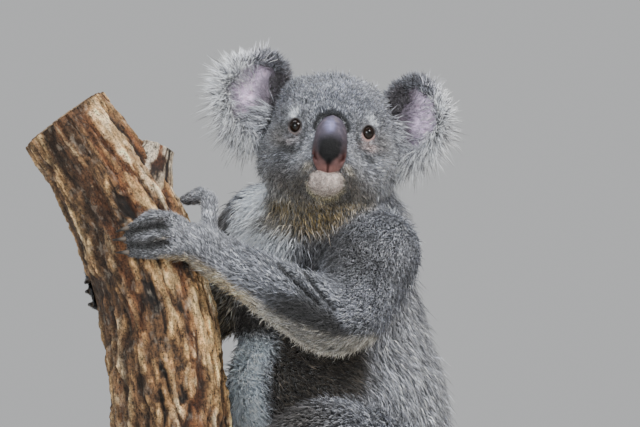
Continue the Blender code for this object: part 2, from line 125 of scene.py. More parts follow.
def oval(x: Array, y: Array, at: Pair, sizes: Pair, soft: float) -> Array:
    """1 inside an upright oval and 0 outside, eased over a share of its size at the edge."""
    distance = np.hypot((x - at[0]) / sizes[0], (y - at[1]) / sizes[1])
    return fade(distance, 1.0 - soft, 1.0 + soft)


def mix(colours: Array, other: Colour, share: Array) -> Array:
    """Rows of colours moved towards another colour by a share for each row."""
    return colours + (np.array(other) - colours) * np.clip(share, 0.0, 1.0)[:, None]


def lattice_noise(points: Array, cell: float, seed: int = 0) -> Array:
    """Smooth noise from -1 to 1.

    A whole number is hashed at each corner of a cubic lattice, and the eight values round a point
    are joined by a cubic ease along each axis.

    Args:
        points: Places, one a row.
        cell: The lattice's pitch.
        seed: Another number gives other noise.

    Returns:
        One value a row.
    """
    place = points / cell + 1000.0
    base = np.floor(place).astype(np.int64)
    t = place - base
    t = t * t * (3.0 - 2.0 * t)
    total = np.zeros(len(points))
    for corner in range(8):
        step = np.array([(corner >> axis) & 1 for axis in range(3)])
        key = base + step
        mixed = key[:, 0] * 73856093 ^ key[:, 1] * 19349663 ^ key[:, 2] * 83492791 ^ (seed * 15485863 + 77)
        mixed = (mixed ^ (mixed >> 13)) * 1274126177 & 0x7FFFFFFF
        mixed ^= mixed >> 15
        value = (mixed & 0xFFFF) / 32767.5 - 1.0
        total += value * np.prod(np.where(step == 1, t, 1.0 - t), axis=1)
    return total


def noise_rows(points: Array, cell: float, seed: int, count: int = 3) -> Array:
    """Several kinds of lattice noise side by side."""
    return np.stack([lattice_noise(points, cell, seed + k) for k in range(count)], -1)


def gathered(tips: Array, cells: Array) -> Tuple[Array, Array, Array]:
    """Tips grouped by the lattice cell that each is in.

    Args:
        tips: Places, one a row.
        cells: Each one's cell as whole numbers from 0, under 16384.

    Returns:
        The way from each tip to the mean tip of its group, its group, and the groups' sizes.
    """
    _, member = np.unique((cells[:, 0] << 28) + (cells[:, 1] << 14) + cells[:, 2], return_inverse=True)
    member = member.reshape(-1)
    size = np.bincount(member)
    mean = np.stack([np.bincount(member, tips[:, k]) / size for k in range(3)], -1)
    return mean[member] - tips, member, size


def frame_matrix(place: Sequence[float], *turns: Tuple[float, str]) -> Array:
    """A 4 by 4 matrix: a place, then turns in degrees about axes, outermost first."""
    made = Matrix.Translation(place)
    for angle, axis in turns:
        made = made @ Matrix.Rotation(math.radians(angle), 4, axis)
    return np.array(made)


def to_local(points: Array, matrix: Array) -> Array:
    """Places in the frame of a matrix without scale: its turn undone after its shift."""
    return (points - matrix[:3, 3]) @ matrix[:3, :3]


def to_world(points: Array, matrix: Array) -> Array:
    """Places of a matrix's frame in the object's frame, in an array of any shape."""
    return (points.reshape(-1, 3) @ matrix[:3, :3].T + matrix[:3, 3]).reshape(points.shape)


# The head's frame and the body's frame: x to the koala's left, y backwards, z up.
HEAD = frame_matrix((0.068, -0.002, 0.457), (5.5, "Y"), (-7.0, "X"))
TRUNK_OF_BODY = frame_matrix((0.07, 0.045, 0.0), (-52.0, "Z"))


# ----
# Meshes


def make_mesh(name: str, points: Array, corners: Array, sides: int) -> bpy.types.Mesh:
    """A mesh from whole arrays.

    Args:
        name: The mesh's name.
        points: Vertices, one a row.
        corners: Vertex numbers, face after face.
        sides: Corners of each face.

    Returns:
        The mesh, smoothly shaded.
    """
    mesh = bpy.data.meshes.new(name)
    mesh.vertices.add(len(points))
    mesh.vertices.foreach_set("co", np.ascontiguousarray(points, np.float32).ravel())
    flat = np.ascontiguousarray(corners, np.int32).ravel()
    mesh.loops.add(len(flat))
    mesh.loops.foreach_set("vertex_index", flat)
    mesh.polygons.add(len(flat) // sides)
    mesh.polygons.foreach_set("loop_start", np.arange(0, len(flat), sides, dtype=np.int32))
    mesh.update(calc_edges=True)
    mesh.shade_smooth()
    return mesh


def tone_mesh(mesh: bpy.types.Mesh, colours: Array) -> None:
    """Stores one colour a vertex under the shared attribute name."""
    layer = mesh.attributes.new(TONE, "FLOAT_COLOR", "POINT")
    rgba = np.ones((len(colours), 4), np.float32)
    rgba[:, :3] = np.clip(colours, 0.0, 1.0)
    layer.data.foreach_set("color", rgba.ravel())


def grid_corners(rows: int, columns: int) -> Array:
    """Corners of the quads of a grid whose columns close into a ring, four a face."""
    row = np.arange(rows - 1)[:, None] * columns
    here = np.arange(columns)[None, :]
    after = (here + 1) % columns
    quads = np.stack([row + here, row + after, row + columns + after, row + columns + here], -1)
    return quads.reshape(-1, 4)


def read_mesh(mesh: bpy.types.Mesh) -> Tuple[Array, Array]:
    """Vertices and triangles of a mesh as arrays."""
    mesh.calc_loop_triangles()
    points = np.zeros(len(mesh.vertices) * 3, np.float32)
    mesh.vertices.foreach_get("co", points)
    triangles = np.zeros(len(mesh.loop_triangles) * 3, np.int32)
    mesh.loop_triangles.foreach_get("vertices", triangles)
    return points.reshape(-1, 3).astype(float), triangles.reshape(-1, 3)


def mesh_normals(mesh: bpy.types.Mesh) -> Array:
    """Vertex normals as an array."""
    normals = np.zeros(len(mesh.vertices) * 3, np.float32)
    mesh.vertices.foreach_get("normal", normals)
    return normals.reshape(-1, 3).astype(float)


def put(name: str, mesh: bpy.types.Mesh, finish: "Finish", slot: str, *nodes: str) -> None:
    """Adds a finished piece that rides on the one body.

    Args:
        name: The piece's name.
        mesh: Its mesh, in place.
        finish: Its finish.
        slot: A material slot's name; not used.
        nodes: The CAD nodes that it stands for.
    """
    piece = bpy.data.objects.new(name, mesh)
    bpy.context.scene.collection.objects.link(piece)
    mesh.materials.clear()
    mesh.materials.append(finish.material())
    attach(piece, BODY)
    if nodes:
        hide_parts(*nodes)
    LOG.info("%s: %d faces", name, len(mesh.polygons))


def tube_points(path: Array, radii: Array, columns: int, across: Sequence[float] = (0.0, 0.0, 1.0)) -> Array:
    """Rings of a tube along a path.

    Each ring is the circle path + radius (cos a * side + sin a * other), where side is the unit of
    tangent x across and other is side x tangent.

    Args:
        path: Points along the middle.
        radii: One radius for each.
        columns: Vertices in each ring.
        across: A direction that is never along the path.

    Returns:
        Places of shape (rings, columns, 3).
    """
    tangent = unit(np.gradient(path, axis=0))
    side = unit(np.cross(tangent, np.array(across)))
    other = np.cross(side, tangent)
    angle = ring_turns(columns)
    ring = np.cos(angle)[None, :, None] * side[:, None] + np.sin(angle)[None, :, None] * other[:, None]
    return path[:, None] + ring * np.asarray(radii)[:, None, None]


def ring_turns(count: int) -> Array:
    """Even angles round a ring."""
    return np.linspace(0.0, 2.0 * np.pi, count, endpoint=False)


def closed_tube(name: str, rings: Array, flip: bool = False) -> bpy.types.Mesh:
    """A closed mesh from rings, each end drawn to its middle point as a pole of triangles."""
    rows, columns, _ = rings.shape
    points = np.concatenate([rings.reshape(-1, 3), rings[0].mean(0)[None], rings[-1].mean(0)[None]])
    quads = grid_corners(rows, columns)
    here = np.arange(columns)
    after = (here + 1) % columns
    first, last = rows * columns, rows * columns + 1
    start = np.stack([np.full(columns, first), after, here], -1)
    end = np.stack([np.full(columns, last), (rows - 1) * columns + here, (rows - 1) * columns + after], -1)
    triangles = np.concatenate([quads[:, [0, 1, 2]], quads[:, [0, 2, 3]], start, end])
    return make_mesh(name, points, triangles[:, ::-1] if flip else triangles, 3)


def smooth_path(knots: Array, count: int) -> Array:
    """Points evenly spread along the smooth curve through knots.

    Between two knots it is the cubic whose end slopes are half the step between their neighbours.

    Args:
        knots: Rows of places, and any other columns that are to be carried along.
        count: Points wanted.

    Returns:
        Rows like the knots.
    """
    padded = np.concatenate([[2 * knots[0] - knots[1]], knots, [2 * knots[-1] - knots[-2]]])
    t = np.linspace(0.0, len(knots) - 1.0, 20 * len(knots))
    at = np.minimum(t.astype(int), len(knots) - 2)
    s = (t - at)[:, None]
    before, here, there, after = (padded[at + k] for k in range(4))
    curve = 0.5 * (
        2 * here + (there - before) * s + (2 * before - 5 * here + 4 * there - after) * s**2
        + (3 * here - before - 3 * there + after) * s**3
    )
    run = np.concatenate([[0.0], np.cumsum(np.linalg.norm(np.diff(curve[:, :3], axis=0), axis=1))])
    want = np.linspace(0.0, run[-1], count)
    return np.stack([np.interp(want, run, column) for column in curve.T], -1)


# ----
# Shaders


class Value:
    """A socket in a material, on which arithmetic adds Math nodes."""

    def __init__(self, tree: bpy.types.NodeTree, socket: Any) -> None:
        """Wraps a node's output socket."""
        self.tree = tree
        self.socket = socket

    def _math(self, operation: str, first: Any, second: Any) -> "Value":
        """A Math node on two values or numbers."""
        made = self.tree.nodes.new("ShaderNodeMath")
        made.operation = operation
        for slot, given in zip(made.inputs, (first, second)):
            if isinstance(given, Value):
                self.tree.links.new(given.socket, slot)
            else:
                slot.default_value = float(given)
        return Value(self.tree, made.outputs[0])

    def __add__(self, other: Any) -> "Value":
        """Sum."""
        return self._math("ADD", self, other)

    __radd__ = __add__

    def __sub__(self, other: Any) -> "Value":
        """Difference."""
        return self._math("SUBTRACT", self, other)

    def __rsub__(self, other: Any) -> "Value":
        """A number less this value."""
        return self._math("SUBTRACT", other, self)

    def __mul__(self, other: Any) -> "Value":
        """Product."""
        return self._math("MULTIPLY", self, other)


class Shader:
    """A Principled material as it is being wired."""

    def __init__(self, name: str) -> None:
        """Starts an empty material with its Principled node and output."""
        self.material = bpy.data.materials.new(name)
        self.material.use_nodes = True
        self.tree = self.material.node_tree
        self.surface = self.tree.nodes["Principled BSDF"]

    def node(self, kind: str, output: Any = 0, settings: Settings = None, **sockets: Any) -> Value:
        """Adds any node.

        Args:
            kind: The node's type without its ShaderNode prefix.
            output: The name or number of the output wanted.
            settings: Properties set on the node first.
            sockets: Values or links of its inputs, spaces in their names given as underscores.

        Returns:
            The wanted output.
        """
        made = self.tree.nodes.new("ShaderNode" + kind)
        for key, value in (settings or {}).items():
            setattr(made, key, value)
        self.join_all(made, sockets)
        return Value(self.tree, made.outputs[output])

    def join(self, given: Any, slot: Any) -> None:
        """Links a value to an input, or sets the input's number or colour."""
        if isinstance(given, Value):
            self.tree.links.new(given.socket, slot)
        elif isinstance(given, tuple) and len(given) == 3 and slot.type == "RGBA":
            slot.default_value = (*given, 1.0)
        else:
            slot.default_value = given

    def join_all(self, node: Any, sockets: Dict[str, Any]) -> None:
        """Joins each given value to the input of its name."""
        for key, given in sockets.items():
            self.join(given, node.inputs[key.replace("_", " ")])

    def object_place(self, scale: Spot = (1.0, 1.0, 1.0)) -> Value:
        """Object coordinates, stretched by a scale along each axis."""
        return self.node("Mapping", 0, Vector=self.node("TexCoord", "Object"), Scale=scale)

    def attribute(self, name: str, output: str = "Color") -> Value:
        """A mesh attribute."""
        return self.node("Attribute", output, {"attribute_name": name})

    def tinted(self, light: Value) -> Value:
        """The mesh's own colour, made lighter or darker."""
        return self.node("HueSaturation", 0, Value=light, Color=self.attribute(TONE))

    def noise(self, place: Value, scale: float, detail: float = 3.0, rough: float = 0.55) -> Value:
        """Fractal noise from 0 to 1."""
        return self.node("TexNoise", "Fac", Vector=place, Scale=scale, Detail=detail, Roughness=rough)

    def level(self, value: Value, low: float, high: float) -> Value:
        """Maps low to 0 and high to 1, held there."""
        return self.node("MapRange", 0, {"clamp": True}, Value=value, From_Min=low, From_Max=high)

    def blend(self, share: Any, first: Any, second: Any) -> Value:
        """Mixes two colours by a share."""
        made = self.tree.nodes.new("ShaderNodeMix")
        made.data_type = "RGBA"
        made.clamp_factor = True
        for given, slot in ((share, 0), (first, 6), (second, 7)):
            self.join(given, made.inputs[slot])
        return Value(self.tree, made.outputs[2])

    def dent(self, height: Value, distance: float, strength: float = 1.0) -> Value:
        """A Bump node on a height from 0 to 1."""
        return self.node("Bump", 0, Height=height, Distance=distance, Strength=strength)

    def finish(self, **sockets: Any) -> bpy.types.Material:
        """Sets the Principled node's inputs and returns the material."""
        self.join_all(self.surface, sockets)
        return self.material


@dataclass(frozen=True)
class Finish:
    """A finish that can be put on a piece."""

    name: str

    def build(self, shader: Shader) -> bpy.types.Material:
        """Wires the material; every finish has its own way."""
        raise NotImplementedError(shader)

    def material(self) -> bpy.types.Material:
        """The material, wired on first use."""
        return bpy.data.materials.get(self.name) or self.build(Shader(self.name))


@dataclass(frozen=True)
class CoatFinish(Finish):
    """Hair: the attribute's colour with a fine change from hair to hair."""

    sheen: float = 0.25
    roughness: float = 0.75

    def build(self, shader: Shader) -> bpy.types.Material:
        """Wires colour from the attribute, varied by noise, under a soft sheen."""
        grain = shader.noise(shader.object_place(), 900.0, 2.0)
        return shader.finish(
            Base_Color=shader.tinted(0.78 + grain * 0.44), Roughness=self.roughness,
            Sheen_Weight=self.sheen, Sheen_Roughness=0.5, Specular_IOR_Level=0.25,
        )


@dataclass(frozen=True)
class SkinFinish(Finish):
    """Skin under the coat: the attribute's colour, with short felted hair as a fine bump."""

    bump: float = 0.5

    def build(self, shader: Shader) -> bpy.types.Material:
        """Wires colour from the attribute and two grains of bump."""
        place = shader.object_place()
        coarse, fine = shader.noise(place, 420.0, 3.0), shader.noise(place, 1500.0, 2.0)
        return shader.finish(
            Base_Color=shader.tinted(0.7 + coarse * 0.6), Roughness=0.62 + fine * 0.25,
            Normal=shader.dent(coarse * 0.6 + fine * 0.4, 0.0012, self.bump), Specular_IOR_Level=0.3,
        )


@dataclass(frozen=True)
class NoseFinish(Finish):
    """Fine pebbled leather, half glossy on top."""

    def build(self, shader: Shader) -> bpy.types.Material:
        """Wires small cells as bump over the attribute's colour."""
        place = shader.object_place()
        cells = shader.node("TexVoronoi", "Distance", Vector=place, Scale=950.0)
        cloud = shader.noise(place, 260.0, 4.0)
        height = 1.0 - shader.level(cells, 0.0, 0.7)
        return shader.finish(
            Base_Color=shader.tinted(0.72 + cloud * 0.5), Roughness=0.36 + cloud * 0.2,
            Normal=shader.dent(height * 0.7 + cloud * 0.3, 0.0006, 0.75), Specular_IOR_Level=0.1,
        )


@dataclass(frozen=True)
class EyeFinish(Finish):
    """A wet eye: the attribute's colour under a clear gloss."""

    def build(self, shader: Shader) -> bpy.types.Material:
        """Wires iris fibres and the wet coat."""
        fibres = shader.noise(shader.object_place(), 1300.0, 3.0)
        return shader.finish(
            Base_Color=shader.tinted(0.75 + fibres * 0.5), Roughness=0.18 + fibres * 0.06,
            Specular_IOR_Level=0.05, Coat_Weight=0.42, Coat_Roughness=0.012,
        )


@dataclass(frozen=True)
class HornFinish(Finish):
    """Claw horn: dark, smooth, with long faint streaks."""

    def build(self, shader: Shader) -> bpy.types.Material:
        """Wires streaks into the attribute's colour and the gloss."""
        streak = shader.noise(shader.object_place((1.0, 1.0, 3.0)), 700.0, 3.0)
        tone, rough = shader.tinted(0.7 + streak * 0.6), 0.34 + streak * 0.25
        return shader.finish(Base_Color=tone, Roughness=rough, Specular_IOR_Level=0.3)


@dataclass(frozen=True)
class BarkFinish(Finish):
    """Stringy bark: the attribute's colour with dust, lichen specks and a fibrous bump."""

    def build(self, shader: Shader) -> bpy.types.Material:
        """Wires long fibres and fine cracks."""
        grain = shader.attribute("grain", "Vector")
        strings, flakes = (shader.node("Mapping", 0, Vector=grain, Scale=(1.0, 1.0, z)) for z in (0.16, 0.55))
        fibre = shader.noise(strings, 560.0, 6.0, 0.7)
        flake = shader.noise(flakes, 260.0, 6.0, 0.7)
        crumb = shader.noise(shader.object_place(), 640.0, 5.0, 0.72)
        sharp = shader.level(flake, 0.36, 0.64)
        light = shader.level(fibre, 0.36, 0.64) * 0.95 + sharp * 0.95 + shader.level(crumb, 0.4, 0.6) - 0.44
        specks = shader.level(shader.noise(flakes, 150.0, 5.0, 0.6), 0.55, 0.66)
        return shader.finish(
            Base_Color=shader.blend(specks * sharp * 0.34, shader.tinted(light), (0.58, 0.5, 0.4)),
            Roughness=0.8 + crumb * 0.2,
            Normal=shader.dent(fibre * 0.34 + flake * 0.36 + crumb * 0.3, 0.009),
        )


@dataclass(frozen=True)
class BoardFinish(Finish):
    """A painted board: flat warm white with a faint brushed tooth."""

    colour: Colour = (0.62, 0.61, 0.58)

    def build(self, shader: Shader) -> bpy.types.Material:
        """Wires a brushed bump and slight cloudiness."""
        brush = shader.noise(shader.object_place((0.06, 1.0, 1.0)), 420.0, 3.0)
        cloud = shader.noise(shader.object_place(), 9.0, 3.0)
        tone = shader.blend(cloud * 0.5, self.colour, tuple(0.9 * c for c in self.colour))
        normal = shader.dent(brush, 0.0003, 0.35)
        return shader.finish(Base_Color=tone, Roughness=0.42 + brush * 0.16, Normal=normal)


@dataclass(frozen=True)
class SteelFinish(Finish):
    """Satin steel with turning marks round the rod."""

    def build(self, shader: Shader) -> bpy.types.Material:
        """Wires fine rings into the roughness and bump."""
        rings = shader.noise(shader.object_place((0.05, 0.05, 1.0)), 1600.0, 2.0)
        tone = shader.blend(rings, (0.5, 0.5, 0.51), (0.38, 0.38, 0.39))
        rough, normal = 0.24 + rings * 0.16, shader.dent(rings, 0.0001, 0.3)
        return shader.finish(Base_Color=tone, Metallic=1.0, Roughness=rough, Normal=normal)


@dataclass(frozen=True)
class FloorFinish(Finish):
    """A plain pale floor."""

    colour: Colour = (0.62, 0.6, 0.56)

    def build(self, shader: Shader) -> bpy.types.Material:
        """Sets one matt colour."""
        return shader.finish(Base_Color=self.colour, Roughness=0.7)


# ----
# Lines of the body: what the coat lies along, and how deep and long it is there


class Region(Enum):
    """The parts of the animal that the coat is grown on, piece by piece."""

    FACE = "face"
    CROWN = "crown"
    BREAST = "breast"
    BACK = "back"
    BELLY = "belly"
    RUMP = "rump"
    ARM_LEFT = "arm_left"
    ARM_RIGHT = "arm_right"
    LEG_LEFT = "leg_left"
    LEG_RIGHT = "leg_right"
    PAWS = "paws"


@dataclass(frozen=True)
class Hair:
    """The coat somewhere: how deep the skin lies, and the tufts' length, width, lift and spacing."""

    depth: float
    length: float
    width: float
    lift: float
    spacing: float

    def row(self) -> Array:
        """The numbers as one row."""
        return np.array([self.depth, self.length, self.width, self.lift, self.spacing])


HAIR_FIELDS = 5
FACE_HAIR = Hair(0.0019, 0.0056, 0.00027, 24.0, 0.00075)
CROWN_HAIR = Hair(0.003, 0.0105, 0.00036, 36.0, 0.00102)
NECK_HAIR = Hair(0.0065, 0.015, 0.00048, 32.0, 0.00132)
TORSO_HAIR = Hair(0.0075, 0.016, 0.00056, 33.0, 0.00156)
ARM_HAIR = Hair(0.005, 0.0093, 0.00041, 31.0, 0.00109)
FAR_ARM_HAIR = Hair(0.005, 0.011, 0.00058, 27.0, 0.0017)
LEG_HAIR = Hair(0.006, 0.013, 0.00062, 30.0, 0.00188)
PAW_HAIR = Hair(0.0022, 0.0066, 0.00032, 26.0, 0.0009)
DIGIT_HAIR = Hair(0.0002, 0.0054, 0.00028, 24.0, 0.0008)
FAR_PAW_HAIR = Hair(0.0022, 0.0066, 0.00043, 26.0, 0.00132)
FAR_DIGIT_HAIR = Hair(0.0002, 0.0054, 0.00036, 24.0, 0.00116)


@dataclass(frozen=True)
class Line:
    """A bone-like line: points with a radius at each, the coat there and the pieces it belongs to."""

    name: str
    knots: Tuple[Tuple[Spot, float], ...]
    hair: Hair
    end_hair: Hair

    def points(self) -> Array:
        """The knots' places."""
        return np.array([place for place, _ in self.knots])

    def radii(self) -> Array:
        """The knots' radii."""
        return np.array([radius for _, radius in self.knots])

    def nearest(self, points: Array) -> Tuple[Array, Array, Array]:
        """How points lie to the line.

        For each straight stretch the foot of the perpendicular is held to the stretch, and the
        stretch with the smallest distance less radius is kept.

        Args:
            points: Places, one a row.

        Returns:
            The distance less the radius, the line's direction there, and the share of its length.
        """
        knots, radii = self.points(), self.radii()
        steps = np.diff(knots, axis=0)
        lengths = np.linalg.norm(steps, axis=1)
        starts = np.concatenate([[0.0], np.cumsum(lengths)])
        best = np.full(len(points), np.inf)
        along, direction = np.zeros(len(points)), np.zeros((len(points), 3))
        for i, (step, length) in enumerate(zip(steps, lengths)):
            t = np.clip((points - knots[i]) @ step / length**2, 0.0, 1.0)
            gap = np.linalg.norm(points - knots[i] - t[:, None] * step, axis=1)
            gap -= radii[i] + (radii[i + 1] - radii[i]) * t
            closer = gap < best
            best = np.where(closer, gap, best)
            along = np.where(closer, (starts[i] + t * length) / starts[-1], along)
            direction = np.where(closer[:, None], step / length, direction)
        return best, direction, along


# The trunk's centre line with its radius, from its sawn foot to its sawn top.
TRUNK_Y = -0.092
TRUNK_LINE = (
    ((-0.074, TRUNK_Y, 0.062), 0.057),
    ((-0.075, TRUNK_Y, 0.15), 0.0555),
    ((-0.078, TRUNK_Y, 0.205), 0.0545),
    ((-0.086, TRUNK_Y, 0.275), 0.0535),
    ((-0.098, TRUNK_Y, 0.325), 0.053),
    ((-0.112, TRUNK_Y, 0.368), 0.0525),
    ((-0.13, TRUNK_Y, 0.405), 0.05),
    ((-0.152, TRUNK_Y, 0.44), 0.0465),
    ((-0.174, TRUNK_Y, 0.47), 0.0445),
)
MIRROR_TURN = 2.0 * (52.0 - 90.0)  # the paws' angles round the trunk mirror about half of this


TRUNK_KNOTS = np.array([[*place, radius] for place, radius in TRUNK_LINE])


def trunk_at(height: Array) -> Array:
    """The middle of the trunk and its radius at a height, as four numbers in the last axis."""
    return np.stack([np.interp(height, TRUNK_KNOTS[:, 2], column) for column in TRUNK_KNOTS.T], -1)


def on_trunk(turn: float, height: float, lift: float) -> Array:
    """The point at a turn round the trunk (0 is +X, 90 is -Y) and a height, lifted off its bark."""
    centre = trunk_at(height)
    angle = math.radians(turn)
    out = np.array([math.cos(angle), -math.sin(angle), 0.0])
    return centre[:3] + out * (centre[3] + lift)


ARM_LEFT = (
    ((0.11, -0.022, 0.352), 0.043), ((0.094, -0.058, 0.322), 0.041), ((0.073, -0.104, 0.289), 0.0385),
    ((0.04, -0.118, 0.302), 0.0345), ((-0.004, -0.124, 0.326), 0.027), ((-0.044, -0.128, 0.35), 0.02),
)
ARM_RIGHT = (
    ((0.008, 0.07, 0.379), 0.046), ((-0.034, 0.076, 0.328), 0.04), ((-0.074, 0.07, 0.284), 0.034),
    ((-0.09, 0.034, 0.288), 0.03), ((-0.106, 0.002, 0.3), 0.024), ((-0.116, -0.022, 0.308), 0.0195),
)
LEG_LEFT = (
    ((0.104, 0.000, 0.158), 0.06), ((0.084, -0.052, 0.166), 0.053), ((0.052, -0.102, 0.176), 0.04),
    ((0.018, -0.126, 0.15), 0.033), ((-0.012, -0.137, 0.124), 0.0235),
)
LEG_RIGHT = (
    ((0.032, 0.092, 0.158), 0.06), ((-0.022, 0.082, 0.166), 0.053), ((-0.074, 0.054, 0.176), 0.04),
    ((-0.094, 0.014, 0.152), 0.033), ((-0.104, -0.014, 0.126), 0.0235),
)
HAND_DIGITS = (
    ((24, 0.36, 0.018), (2, 0.371, 0.02), (-18, 0.366, 0.007)),
    ((17, 0.377, 0.026), (6, 0.402, 0.033), (0, 0.398, 0.012)),
    ((36, 0.371, 0.008), (62, 0.379, 0.01), (90, 0.37, 0.002)),
    ((38, 0.36, 0.007), (66, 0.363, 0.008), (96, 0.36, 0.001)),
    ((36, 0.348, 0.007), (64, 0.349, 0.007), (97, 0.348, 0.001)),
)
FOOT_DIGITS = (
    ((34, 0.13, 0.011), (8, 0.142, 0.01), (-14, 0.146, 0.002)),
    ((40, 0.13, 0.007), (64, 0.143, 0.008), (88, 0.145, 0.001)),
    ((40, 0.125, 0.007), (64, 0.136, 0.008), (88, 0.137, 0.001)),
    ((42, 0.115, 0.008), (70, 0.12, 0.009), (100, 0.121, 0.002)),
    ((38, 0.102, 0.008), (66, 0.103, 0.008), (94, 0.104, 0.002)),
)


def digit_lines(side: str, limb: Tuple, digits: Tuple, palm: Spot, drop: float) -> List[Line]:
    """The lines of one paw's digits, each from the wrist over the palm to the digit's end."""
    mirrored = side.endswith("right")
    lines = []
    for number, knots in enumerate(digits):
        places = [np.array(limb[-1][0])]
        for turn, height, lift in (palm, *knots):
            turn = MIRROR_TURN - turn if mirrored else turn
            places.append(on_trunk(turn, height - drop, lift))
        radii = (limb[-1][1], palm[2], 0.0072, 0.007, 0.0056)
        made = tuple((tuple(place), radius) for place, radius in zip(places, radii))
        hair = (PAW_HAIR, DIGIT_HAIR) if side == "hand_left" else (FAR_PAW_HAIR, FAR_DIGIT_HAIR)
        lines.append(Line(f"{side}_digit_{number}", made, *hair))
    return lines


def body_lines() -> List[Line]:
    """Every line of the animal, from the torso out to the digits."""
    head_points = to_world(np.array([(0.0, 0.02, 0.004), (0.0, -0.034, -0.01)]), HEAD)
    lines = [
        Line(
            "torso",
            (
                ((0.062, 0.039, 0.346), 0.078), ((0.07, 0.045, 0.286), 0.09),
                ((0.075, 0.049, 0.226), 0.102), ((0.084, 0.056, 0.17), 0.098),
            ),
            TORSO_HAIR, TORSO_HAIR,
        ),
        Line("neck", (((0.072, 0.01, 0.424), 0.052), ((0.07, 0.03, 0.384), 0.062)), NECK_HAIR, NECK_HAIR),
        Line(
            "head",
            ((tuple(head_points[1]), 0.05), (tuple(head_points[0]), 0.06)),
            FACE_HAIR, CROWN_HAIR,
        ),
        Line("arm_left", ARM_LEFT, ARM_HAIR, ARM_HAIR),
        Line("arm_right", ARM_RIGHT, FAR_ARM_HAIR, FAR_ARM_HAIR),
        Line("leg_left", LEG_LEFT, LEG_HAIR, LEG_HAIR),
        Line("leg_right", LEG_RIGHT, LEG_HAIR, LEG_HAIR),
    ]
    hand_palm, foot_palm = (30, 0.358, 0.0165), (36, 0.117, 0.019)
    lines += digit_lines("hand_left", ARM_LEFT, HAND_DIGITS, hand_palm, 0.0)
    lines += digit_lines("hand_right", ARM_RIGHT, HAND_DIGITS, (30, 0.403, 0.0165), 0.045)
    lines += digit_lines("foot_left", LEG_LEFT, FOOT_DIGITS, foot_palm, 0.0)
    lines += digit_lines("foot_right", LEG_RIGHT, FOOT_DIGITS, foot_palm, 0.0)
    return lines


EYE_CENTRE, EYE_RADIUS = (0.0327, -0.0447, 0.0024), 0.0078
NOSE_TIP = np.array([0.0, -0.078, -0.016])
LID_FALL = 0.24  # how steeply the lids fall back towards the outer corner
SIDES = (-1.0, 1.0)  # the koala's right and its left


def eye_centre(side: float) -> Array:
    """The middle of an eyeball, in the head's frame."""
    return np.array(EYE_CENTRE) * np.array([side, 1.0, 1.0])


def eye_axis(side: float) -> Array:
    """The way an eye looks, in the head's frame."""
    return unit(np.array([0.2 * side, -1.0, -0.05]))


def ball_height(off_axis: Array) -> Array:
    """How far an eyeball stands out at a distance off its axis."""
    return np.sqrt(np.maximum(EYE_RADIUS**2 - off_axis**2, 0.0))


def from_eye(head: Array, side: float) -> Tuple[Array, Array]:
    """How far places of the head's frame lie ahead of an eye's middle, and off its axis."""
    axis = eye_axis(side)
    offset = head - eye_centre(side)
    forward = offset @ axis
    return forward, np.linalg.norm(offset - forward[:, None] * axis, axis=1)


class Lie:
    """Which part each point belongs to, how the coat lies there, and how long it is."""

    SOFTNESS = 0.006  # how far the parts' coats run into each other

    def __init__(self, points: Array, normals: Array) -> None:
        """Works out the shares of all the lines at each point.

        A line's share is exp(-(gap - smallest gap) / softness), divided by the sum of all shares.
        """
        self.points = points
        self.normals = normals
        self.head = to_local(points, HEAD)
        self.body = to_local(points, TRUNK_OF_BODY)
        self.body_normals = normals @ TRUNK_OF_BODY[:3, :3]
        lines = body_lines()
        found = [line.nearest(points) for line in lines]
        gaps = np.stack([gap for gap, _, _ in found])
        shares = np.exp(-(gaps - gaps.min(0)) / self.SOFTNESS)
        shares /= shares.sum(0)
        self.share = {line.name: share for line, share in zip(lines, shares)}
        self.along = {line.name: found[i][2] for i, line in enumerate(lines)}
        self.hair = np.zeros((len(points), HAIR_FIELDS))
        self.flow = np.zeros((len(points), 3))
        for line, share, (_, direction, along) in zip(lines, shares, found):
            row = line.hair.row() + (line.end_hair.row() - line.hair.row()) * along[:, None]
            self.hair += row * share[:, None]
            way = self.head_flow() if line.name == "head" else direction
            if line.name in ("torso", "neck"):
                way = np.tile([0.0, 0.0, -1.0], (len(points), 1)) + 0.35 * self.backwards()
                low_front = ease(-self.body[:, 1], 0.01, 0.045) * fade(self.body[:, 2], 0.285, 0.32)
                way += low_front[:, None] * (1.5 * TRUNK_OF_BODY[:3, 0] - 0.35 * way)
            if line.name == "arm_left":
                hang = ease(-normals[:, 2], 0.25, 0.75) * ease(along, 0.25, 0.45)
                way = way + hang[:, None] * np.array([0.0, -0.5, -1.5])
            self.flow += way * share[:, None]
        self.part = {
            "head": self.share["head"],
            "torso": self.share["torso"] + self.share["neck"],
            "paws": sum(share for name, share in self.share.items() if "_digit_" in name),
        }
        names = [name for name in self.share if "_digit_" in name]
        digits = np.stack([self.share[name] for name in names])
        order = np.argsort(digits, axis=0)[-2:]
        top = np.take_along_axis(digits, order, axis=0)
        self.reach = np.take_along_axis(np.stack([self.along[name] for name in names]), order, axis=0)[1]
        self.cleft = (4.0 * top[0] * top[1]) ** 2 * ease(self.reach, 0.42, 0.56)
        self.near_left_hand = sum(share for name, share in self.share.items() if name.startswith("hand_left"))

    def backwards(self) -> Array:
        """The direction towards the koala's back, at every point."""
        return np.tile(TRUNK_OF_BODY[:3, 1], (len(self.points), 1))

    def head_flow(self) -> Array:
        """On the head the coat runs away from the nose, and close to an eye away from the eye."""
        away = unit(self.head - NOSE_TIP)
        away += np.array([0.0, 0.5, -0.25]) * ease(self.head[:, 1], -0.05, 0.05)[:, None]
        for side in SIDES:
            offset = self.head - eye_centre(side)
            near = bump(np.linalg.norm(offset, axis=1), 0.016)
            away += 1.6 * unit(offset) * near[:, None]
        return unit(away) @ HEAD[:3, :3].T


# ----
# Markings, shared by the skin and the coat


